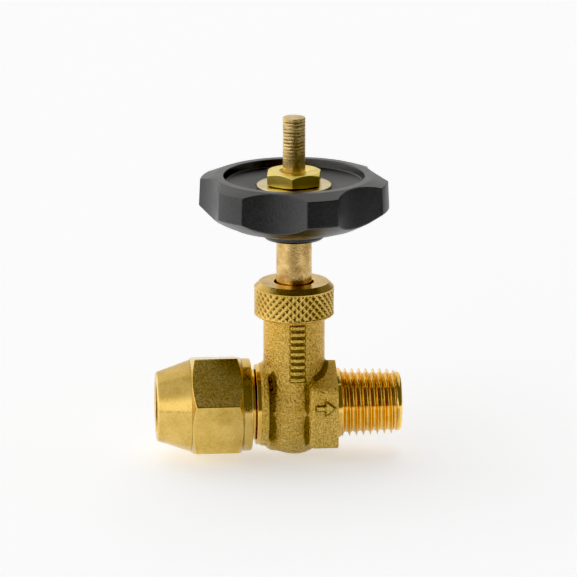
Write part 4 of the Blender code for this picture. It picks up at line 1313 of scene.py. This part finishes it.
@dataclass
class Gland:
    """The knurled gland nut."""

    radius: float = 8.0
    band: tuple[float, float] = (0.35, 5.75)
    bumps: int = 33
    steps_in_bump: int = 16
    knurl_rows: int = 56
    bump_height: float = 1.6
    pit_depth: float = 0.42
    top_chamfer: float = 1.05
    ceiling: float = 1.5
    hole_radius: float = 4.0
    thread_radius: float = 6.0
    skirt_radius: float = 6.4

    def build(self, shop: Workshop) -> None:
        """Makes the nut from a knurled band and the turned surfaces round it."""
        low, high = shop.box("gland_nut")
        angles = crowded_angles(self.bumps * self.steps_in_bump)
        shop.piece(
            "gland_nut_knurled", [self.knurl(low.z, angles), self.rest(low.z, high.z, angles)],
            KNURL_BRASS, "gland_nut", ["gland_nut"],
        )

    def knurl(self, bottom: float, angles: Array) -> Shell:
        """Diamond knurl: two sets of slanting triangle waves, whose larger value and mean make
        crossed ridges with a pit in each diamond between them."""
        low, high = bottom + self.band[0], bottom + self.band[1]
        heights = np.linspace(low, high, self.knurl_rows)[:, None]
        around = self.bumps * angles[None, :] / TURN
        up = (heights - low) / self.bump_height
        one, two = ((around + up) % 1), ((around - up) % 1)
        wave_one, wave_two = 1 - np.abs(2 * one - 1), 1 - np.abs(2 * two - 1)
        ridge = 0.55 * np.maximum(wave_one, wave_two) + 0.225 * (wave_one + wave_two)
        ridge = np.clip(ridge, 0, 1) ** 0.8
        fade = smooth_step(0, 0.25, heights - low) * smooth_step(0, 0.25, high - heights)
        pit = self.pit_depth * (1 - ridge) * fade
        points = about(Axis.SPINDLE, self.radius - pit, angles[None, :], heights)
        exposure = np.clip(0.9 - 1.25 * (1 - ridge) * fade, 0, 1)
        return Shell(
            points.reshape(-1, 3), grid_faces(len(heights), len(angles), False),
            np.broadcast_to(exposure, points.shape[:2]).reshape(-1),
        )

    def rest(self, bottom: float, top: float, angles: Array) -> Shell:
        """Chamfers, flat top with its hole, and the inside of the nut."""
        inner = self.hole_radius
        ceiling, counterbore = top - self.ceiling, bottom + 0.9
        thread = self.thread_radius + 0.05
        outline = [
            Corner(self.radius, bottom + self.band[1]),
            Corner(self.radius, top - self.top_chamfer, 0.12),
            Corner(self.radius - self.top_chamfer, top, 0.15),
            Corner(inner, top, 0.2),
            Corner(inner, ceiling, 0.1),
            Corner(thread, ceiling, 0.1),
            Corner(thread, counterbore, 0.1),
            Corner(self.skirt_radius, counterbore, 0.1),
            Corner(self.skirt_radius, bottom, 0.1),
            Corner(self.radius - 0.35, bottom, 0.1),
            Corner(self.radius, bottom + self.band[0]),
        ]
        return turned_shell(outline, angles, Axis.SPINDLE, closed=False)


@dataclass
class Spindle:
    """Spindle: threaded foot, shank, drive square and a stud with a worn thread."""

    shank_radius: float = 3.55
    stud_radius: float = 2.25
    square: float = 5.0
    stud_pitch: float = 0.7
    stud_wear: float = 0.14
    foot_crest: float = 3.75
    foot_depth: float = 0.5
    shoulder_z: float = 11.05
    socket_radius: float = 1.52
    socket_depth: float = 5.15
    groove_radius: float = 2.1
    groove: tuple[float, float] = (2.84, 3.84)

    def build(self, shop: Workshop) -> None:
        """Makes the spindle."""
        shank, stud = self.shells(shop)
        body, nodes, slot = "spindle_and_wheel", ["spindle"], "spindle_brass"
        shop.piece("spindle_shank", shank, SPINDLE_BRASS, body, nodes)
        shop.piece("spindle_stud", stud, STUD_BRASS, body, nodes)

    def shells(self, shop: Workshop) -> tuple[list[Shell], list[Shell]]:
        """Foot thread and shank with its square and socket; and the stud with its worn thread."""
        low, high = shop.box("spindle")
        hub = shop.box("handwheel")[0].z
        washer = shop.box("wheel_washer")[0].z
        shoulder, drive = self.shoulder_z, hub + DRIVE_FOOT
        foot = Thread(self.foot_crest, self.foot_depth, 1.0, (low.z, 1.2), (shoulder, 3))
        worn_from, worn_to = high.z - 8.6, high.z - 0.5

        def stud(angle: Array, along: Array) -> tuple[Array, Array]:
            phase = thread_phase(angle, along, self.stud_pitch)
            groove = np.clip(1 - np.abs(2 * phase - 1) * 1.8, 0, 1)
            wobble = 0.5 + 0.5 * np.sin(along * 2.3 + 1.2 * np.sin(along * 0.9) + angle)
            deep = groove * (0.4 + 0.6 * wobble)
            deep = deep * smooth_step(worn_from, worn_from + 3.5, along)
            deep = deep * smooth_step(0.0, 0.2, worn_to - along)
            return self.stud_radius - self.stud_wear * deep, np.clip(0.6 - 0.7 * deep, 0, 1)

        cuts = 96
        angles = np.arange(cuts) * TURN / cuts
        stud_shell = helical_shell(
            worn_from, worn_to, self.stud_pitch, cuts, 8, stud, Axis.SPINDLE
        )
        side = polygon_radius(angles, 4, self.square, math.radians(45), 60)
        middle = turned_shell(
            [
                Corner(foot.root, shoulder),
                Corner(self.shank_radius, shoulder, 0.1),
                Corner(self.shank_radius, drive, 0.15),
                Corner(side, drive, 0.05),
                Corner(side, washer - 0.3, 0.15),
                Corner(0.0, washer - 0.3),
            ],
            angles, Axis.SPINDLE, closed=False,
        )
        root = turned_shell(
            [
                Corner(0.0, washer - 0.4),
                Corner(self.stud_radius, washer - 0.4, 0.05),
                Corner(self.stud_radius, worn_from),
            ],
            angles, Axis.SPINDLE, closed=False,
        )
        tip = turned_shell(
            [
                Corner(self.stud_radius, worn_to),
                Corner(self.stud_radius, high.z, 0.3),
                Corner(0.0, high.z),
            ],
            angles, Axis.SPINDLE, closed=False,
        )
        socket = self.socket_radius
        groove_low, groove_high = low.z + self.groove[0], low.z + self.groove[1]
        hollow = turned_shell(
            [
                Corner(0.0, low.z + self.socket_depth),
                Corner(socket, low.z + self.socket_depth, 0.05),
                Corner(socket, groove_high, 0.02),
                Corner(self.groove_radius, groove_high, 0.02),
                Corner(self.groove_radius, groove_low, 0.02),
                Corner(socket, groove_low, 0.02),
                Corner(socket, low.z, 0.1),
                Corner(foot.root, low.z),
            ],
            angles, Axis.SPINDLE, closed=False,
        )
        return [foot.shell(cuts, 8, Axis.SPINDLE), middle, hollow], [root, stud_shell, tip]


@dataclass
class Handwheel:
    """Moulded handwheel with six lobes, its washer and its nut."""

    radius: float = 19.0
    draft: float = 0.25
    lobes: int = 6
    lobe_turn: float = math.radians(-77.2)
    scallop_half_angle: float = math.radians(20.3)
    scallop_bottom: float = 16.3
    crown: float = 12.75
    rim_drop: float = 1.1
    rim_height: float = 5.3
    recess_radius: float = 14.1
    crown_flat: float = 1.6
    recess_depth: float = 1.5
    dish_floor: float = 2.7
    dish_flat_radius: float = 8.4
    hub_radius: float = 6.3
    bore_radius: float = 3.7
    insert_flats: float = 8.9
    nut_flats: float = 10.4
    nut_turn: float = math.radians(-97.6)
    washer_radius: float = 7.5
    hole_radius: float = 2.45

    def build(self, shop: Workshop) -> None:
        """Makes the wheel, the washer and the nut."""
        body = "spindle_and_wheel"
        shop.piece(
            "handwheel_moulding", [self.moulding(shop)], BLACK_PLASTIC, body, ["handwheel"],
        )
        shop.piece(
            "wheel_washer_turned", [self.washer(shop)], PALE_BRASS, body, ["wheel_washer"],
        )
        shop.piece(
            "wheel_nut_turned", [self.nut(shop)], BRIGHT_BRASS, body, ["wheel_nut"],
        )

    def scallop_centres(self) -> list[float]:
        """Directions of the scallops' middles."""
        return [self.lobe_turn + (i + 0.5) * TURN / self.lobes for i in range(self.lobes)]

    def rim(self, angles: Array) -> Array:
        """Distance from the axis to the rim: the lobes' circle, cut by the scallops' circles.

        A scallop's circle passes through the rim at its two corners and through its bottom, and
        the ray at angle a meets it at C cos a - sqrt(r^2 - C^2 sin^2 a).
        """
        half = self.radius * math.sin(self.scallop_half_angle)
        sagitta = self.radius * math.cos(self.scallop_half_angle) - self.scallop_bottom
        arc = (sagitta**2 + half**2) / (2 * sagitta)
        centre = self.scallop_bottom + arc
        rim = np.full(len(angles), self.radius)
        for middle in self.scallop_centres():
            apart = (angles - middle + math.pi) % TURN - math.pi
            under = np.clip(arc**2 - (centre * np.sin(apart)) ** 2, 0, None)
            cut = centre * np.cos(apart) - np.sqrt(under)
            cut = np.where(np.abs(apart) < 1.35 * self.scallop_half_angle, cut, self.radius * 1.3)
            rim = smooth_min(rim, cut, 0.14)
        return rim

    def underside(self, radius: Array) -> Array:
        """Height of the bowl's underside above the hub's foot, from the distance to the axis."""
        known = [self.hub_radius, 10.0, 13.4, 16.5, self.radius]
        heights = [1.1, 2.0, 3.0, 4.6, self.crown - self.rim_drop - self.rim_height]
        return np.interp(radius, known, heights)

    def moulding(self, shop: Workshop) -> Shell:
        """The wheel: at each angle its outline runs out along the underside to the rim, up the
        rim, and back over the crown into the dish."""
        foot = shop.box("handwheel")[0].z
        corners = [
            middle + sign * self.scallop_half_angle
            for middle in self.scallop_centres() for sign in (-1, 1)
        ]
        angles = crowded_angles(600, corners, 0.045, 6)
        rim = self.rim(angles)
        crown = foot + self.crown
        flat_edge = self.recess_radius + self.crown_flat
        fall = self.rim_drop / (self.radius - flat_edge)
        rim_top = rim - self.draft
        top = crown - np.clip(rim_top - flat_edge, 0, None) * fall
        pocket = polygon_radius(angles, 6, self.insert_flats, 0.0, 80)
        rings = [
            self.hub_radius + share * (rim - self.hub_radius)
            for share in (0.18, 0.36, 0.54, 0.72, 0.88)
        ]
        outline = [
            Corner(self.bore_radius, foot, 0.1),
            Corner(self.hub_radius - 0.5, foot, 0.15),
            Corner(self.hub_radius, foot + 0.5, 0.2),
            Corner(self.hub_radius, foot + 1.1, 0.25),
            *(Corner(ring, foot + self.underside(ring), 1.5) for ring in rings),
            Corner(rim, foot + self.underside(rim), 0.3),
            Corner(rim_top, top, 0.22),
            Corner(np.minimum(flat_edge, rim_top - 0.4), crown, 1.0),
            Corner(self.recess_radius, crown, 0.25),
            Corner(self.recess_radius - 0.3, crown - self.recess_depth, 0.3),
            Corner(self.dish_flat_radius, crown - self.dish_floor, 2.0),
            Corner(pocket, crown - self.dish_floor, 0.05),
            Corner(pocket, foot + DRIVE_FOOT, 0.05),
            Corner(self.bore_radius, foot + DRIVE_FOOT, 0.05),
        ]
        return turned_shell(outline, angles, Axis.SPINDLE)

    def washer(self, shop: Workshop) -> Shell:
        """Flat washer with rolled edges."""
        low, high = shop.box("wheel_washer")
        outline = [
            Corner(self.hole_radius, low.z, 0.1),
            Corner(self.washer_radius, low.z, 0.2),
            Corner(self.washer_radius, high.z, 0.25),
            Corner(self.hole_radius, high.z, 0.1),
        ]
        return turned_shell(outline, crowded_angles(160), Axis.SPINDLE)

    def nut(self, shop: Workshop) -> Shell:
        """Hexagon nut, chamfered above and below, with a countersunk hole."""
        low, high = shop.box("wheel_nut")
        angles = crowded_angles(288, regular_corners(6, self.nut_turn), 0.05, 7)
        side = polygon_radius(angles, 6, self.nut_flats, self.nut_turn, 150)
        inside = self.nut_flats / 2
        upper = high.z - np.clip((side - inside + 0.12) * 0.55, 0.02, None)
        lower = low.z + np.clip((side - inside) * 0.3, 0.02, None)
        outline = [
            Corner(self.hole_radius, low.z, 0.1),
            Corner(inside - 0.1, low.z, 0.1),
            Corner(side, lower, 0.1),
            Corner(side, upper, 0.12),
            Corner(inside - 0.12, high.z, 0.15),
            Corner(self.hole_radius + 0.6, high.z, 0.12),
            Corner(self.hole_radius, high.z - 0.55, 0.1),
        ]
        return turned_shell(outline, angles, Axis.SPINDLE)


@dataclass
class Innards:
    """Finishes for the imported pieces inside, whose shapes stay as they are."""

    metals: dict[str, Metal] = field(
        default_factory=lambda: {
            "seat_ring": STEEL, "needle": STEEL, "needle_clip": STEEL,
            "packing_base_washer": INNER_BRASS, "gland_follower": INNER_BRASS,
            "handwheel_insert": INNER_BRASS,
        }
    )
    rings: tuple[str, ...] = ("lower", "middle", "upper")

    def dress(self, shop: Workshop) -> None:
        """Gives each piece its material."""
        finishes: dict[str, Metal | Plastic] = dict(self.metals)
        finishes.update({f"packing_ring_{place}": WHITE_PLASTIC for place in self.rings})
        for node, finish in finishes.items():
            mesh = shop.frame["nodes"][node].data
            mesh.materials.clear()
            mesh.materials.append(finish.material())
            LOG.info("%s: kept, finished as %s", node, finish.name)


# --------------------------------------------------------------------------- studio


@dataclass
class Studio:
    """White paper floor and backdrop, a soft studio for the metal to reflect, and the camera.

    The floor and backdrop are what the camera sees.  The metal reflects a white table of its own
    and a studio that is bright overhead, behind and at the sides, and dark in front.
    """

    floor_colour: Colour = (0.86, 0.87, 0.89)
    floor_glow: float = 0.45
    table: tuple[float, float, float, float] = (-0.45, 0.17, -0.16, 0.6)
    # Glow of the reflected table: least round the valve's foot as a painted shadow, more farther
    # off, and more to the left as painted light.
    table_glow: tuple[float, float, float] = (0.43, 0.54, 0.12)
    overhead: float = 1.1
    behind: float = 0.86
    behind_right: float = 0.21
    left_low: float = 1.35
    left_high: float = 0.75
    right: float = 0.45
    least: float = 0.12
    backdrop_radius: float = 6.0
    floor_reach: float = 4.0
    black_level: float = 0.018
    azimuth: float = -4.7
    elevation: float = 14.9
    distance: float = 1000.0
    view_width: float = 115.4
    aim: tuple[float, float] = (-1.1, 23.9)

    def build(self, low: Vector) -> None:
        """Makes the floor, the light and the camera.

        Args:
            low: The valve's lowest corner, in metres.
        """
        under = low.z - 0.0002
        reach = self.floor_reach
        floor = self.sheet("floor", (-reach, reach, -reach, reach), under)
        floor.data.materials.append(self.paper("floor_paper", self.floor_colour, self.floor_glow))
        floor.visible_glossy = False
        table = self.sheet("reflected_table", self.table, under - 0.0001)
        table.data.materials.append(self.shaded_paper())
        table.visible_camera = table.visible_diffuse = table.visible_shadow = False
        self.backdrop()
        self.sky()
        self.camera()
        view = bpy.context.scene.view_settings
        view.view_transform = "Standard"
        view.use_curve_mapping = True
        view.curve_mapping.black_level = (self.black_level,) * 3

    def sheet(
        self, name: str, extent: tuple[float, float, float, float], height: float
    ) -> bpy.types.Object:
        """A flat level sheet.

        Args:
            name: Its name.
            extent: Lowest x, highest x, lowest y and highest y, in metres.
            height: Its height in metres.

        Returns:
            The object.
        """
        x0, x1, y0, y1 = extent
        mesh = bpy.data.meshes.new(name)
        corners = [(x0, y0, height), (x1, y0, height), (x1, y1, height), (x0, y1, height)]
        mesh.from_pydata(corners, [], [(0, 1, 2, 3)])
        obj = bpy.data.objects.new(name, mesh)
        bpy.context.scene.collection.objects.link(obj)
        obj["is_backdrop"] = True
        return obj

    def paper(self, name: str, colour: Colour, glow: float) -> bpy.types.Material:
        """Matt white that also gives off a little light of its own."""
        material = bpy.data.materials.new(name)
        material.use_nodes = True
        shader = material.node_tree.nodes["Principled BSDF"]
        shader.inputs["Base Color"].default_value = opaque(colour)
        shader.inputs["Roughness"].default_value = 0.9
        shader.inputs["Specular IOR Level"].default_value = 0.2
        shader.inputs["Emission Color"].default_value = (1, 1, 1, 1)
        shader.inputs["Emission Strength"].default_value = glow
        return material

    def shaded_paper(self) -> bpy.types.Material:
        """Glow of the reflected table: a painted shadow of the valve, dim round its foot, and
        painted light, brightest to the left.
        """
        material = self.paper("table_paper", (0.0, 0.0, 0.0), 1.0)
        graph = Graph(material.node_tree)
        place = graph.add("ShaderNodeTexCoord").outputs["Object"]
        foot = graph.add(
            "ShaderNodeMapping", {"vector_type": "POINT"}, Vector=place,
            Location=(-0.008, 0.0, 0.0), Scale=(4.0, 1.0, 0.0),
        ).outputs[0]
        away = graph.length(foot)
        across = graph.add("ShaderNodeSeparateXYZ", in0=place).outputs[0]
        least, far, left = self.table_glow
        # Painted shadow of the valve: the glow is least round its foot.
        glow = graph.maths("MULTIPLY_ADD", graph.ramp(away, 0.0, 0.1), far, least)
        # Painted light: more glow to the left.
        glow = graph.maths("MULTIPLY_ADD", graph.ramp(across, -0.02, -0.12), left, glow)
        shader = material.node_tree.nodes["Principled BSDF"]
        material.node_tree.links.new(glow, shader.inputs["Emission Strength"])
        return material

    def backdrop(self) -> None:
        """A white dome all round that only the camera sees."""
        bm = bmesh.new()
        bmesh.ops.create_uvsphere(bm, u_segments=48, v_segments=24, radius=self.backdrop_radius)
        mesh = bpy.data.meshes.new("backdrop")
        bm.to_mesh(mesh)
        bm.free()
        mesh.materials.append(self.paper("backdrop_paper", (0.0, 0.0, 0.0), 1.0))
        dome = bpy.data.objects.new("backdrop", mesh)
        bpy.context.scene.collection.objects.link(dome)
        dome.visible_diffuse = dome.visible_glossy = dome.visible_transmission = False
        dome.visible_shadow = False
        dome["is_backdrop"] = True

    def sky(self) -> None:
        """Light from all round, by direction: bright overhead, behind and to the sides, and dark
        in front between the table and the overhead panel."""
        world = bpy.data.worlds.new("studio")
        bpy.context.scene.world = world
        world.use_nodes = True
        graph = Graph(world.node_tree)
        direction = graph.add("ShaderNodeTexCoord").outputs["Generated"]
        parts = graph.add("ShaderNodeSeparateXYZ", in0=direction).outputs
        above = graph.ramp(parts[2], -0.05, 0.0)
        top = graph.maths("MULTIPLY", graph.ramp(parts[2], 0.94, 0.985), self.overhead)
        corner = graph.blend(graph.ramp(parts[0], 0.35, 0.65), self.behind, self.behind_right)
        back = graph.maths("MULTIPLY", graph.ramp(parts[1], 0.0, 0.3), corner)
        height = graph.blend(graph.ramp(parts[2], 0.3, 0.7), self.left_low, self.left_high)
        left = graph.maths("MULTIPLY", graph.ramp(parts[0], -0.18, -0.5), height)
        right = graph.maths("MULTIPLY", graph.ramp(parts[0], 0.72, 0.9), self.right)
        sides = graph.maths("MULTIPLY", graph.maths("MAXIMUM", left, right), above)
        light = graph.maths("MAXIMUM", graph.maths("MAXIMUM", top, back), sides)
        light = graph.maths("MAXIMUM", light, self.least)
        background = world.node_tree.nodes["Background"]
        world.node_tree.links.new(light, background.inputs["Strength"])
        background.inputs["Color"].default_value = (1.0, 0.99, 0.97, 1.0)

    def camera(self) -> None:
        """A long lens, aimed so that the frame is view_width across at the valve."""
        data = bpy.data.cameras.new("camera")
        camera = bpy.data.objects.new("camera", data)
        bpy.context.scene.collection.objects.link(camera)
        bpy.context.scene.camera = camera
        a, e = math.radians(self.azimuth), math.radians(self.elevation)
        back = Vector((math.sin(a) * math.cos(e), -math.cos(a) * math.cos(e), math.sin(e)))
        across, up = self.aim
        target = Vector((across * math.cos(a), across * math.sin(a), up))
        camera.location = (target + back * self.distance) * MM
        camera.rotation_mode = "QUATERNION"
        camera.rotation_quaternion = (-back).to_track_quat("-Z", "Y")
        data.sensor_width = 36.0
        data.lens = data.sensor_width * self.distance / self.view_width
        data.clip_start, data.clip_end = 0.01, 20.0


def main() -> None:
    """Builds the valve round its frame, then the studio."""
    logging.basicConfig(level=logging.INFO, format="%(name)s %(message)s")
    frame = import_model()
    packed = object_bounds()
    shop = Workshop(frame)
    Studio().build(packed[0])
    Body().build(shop)
    CompressionNut().build(shop)
    Gland().build(shop)
    Spindle().build(shop)
    Handwheel().build(shop)
    Innards().dress(shop)
    LOG.info("%d new pieces", len(shop.made))


if __name__ == "__main__":
    main()
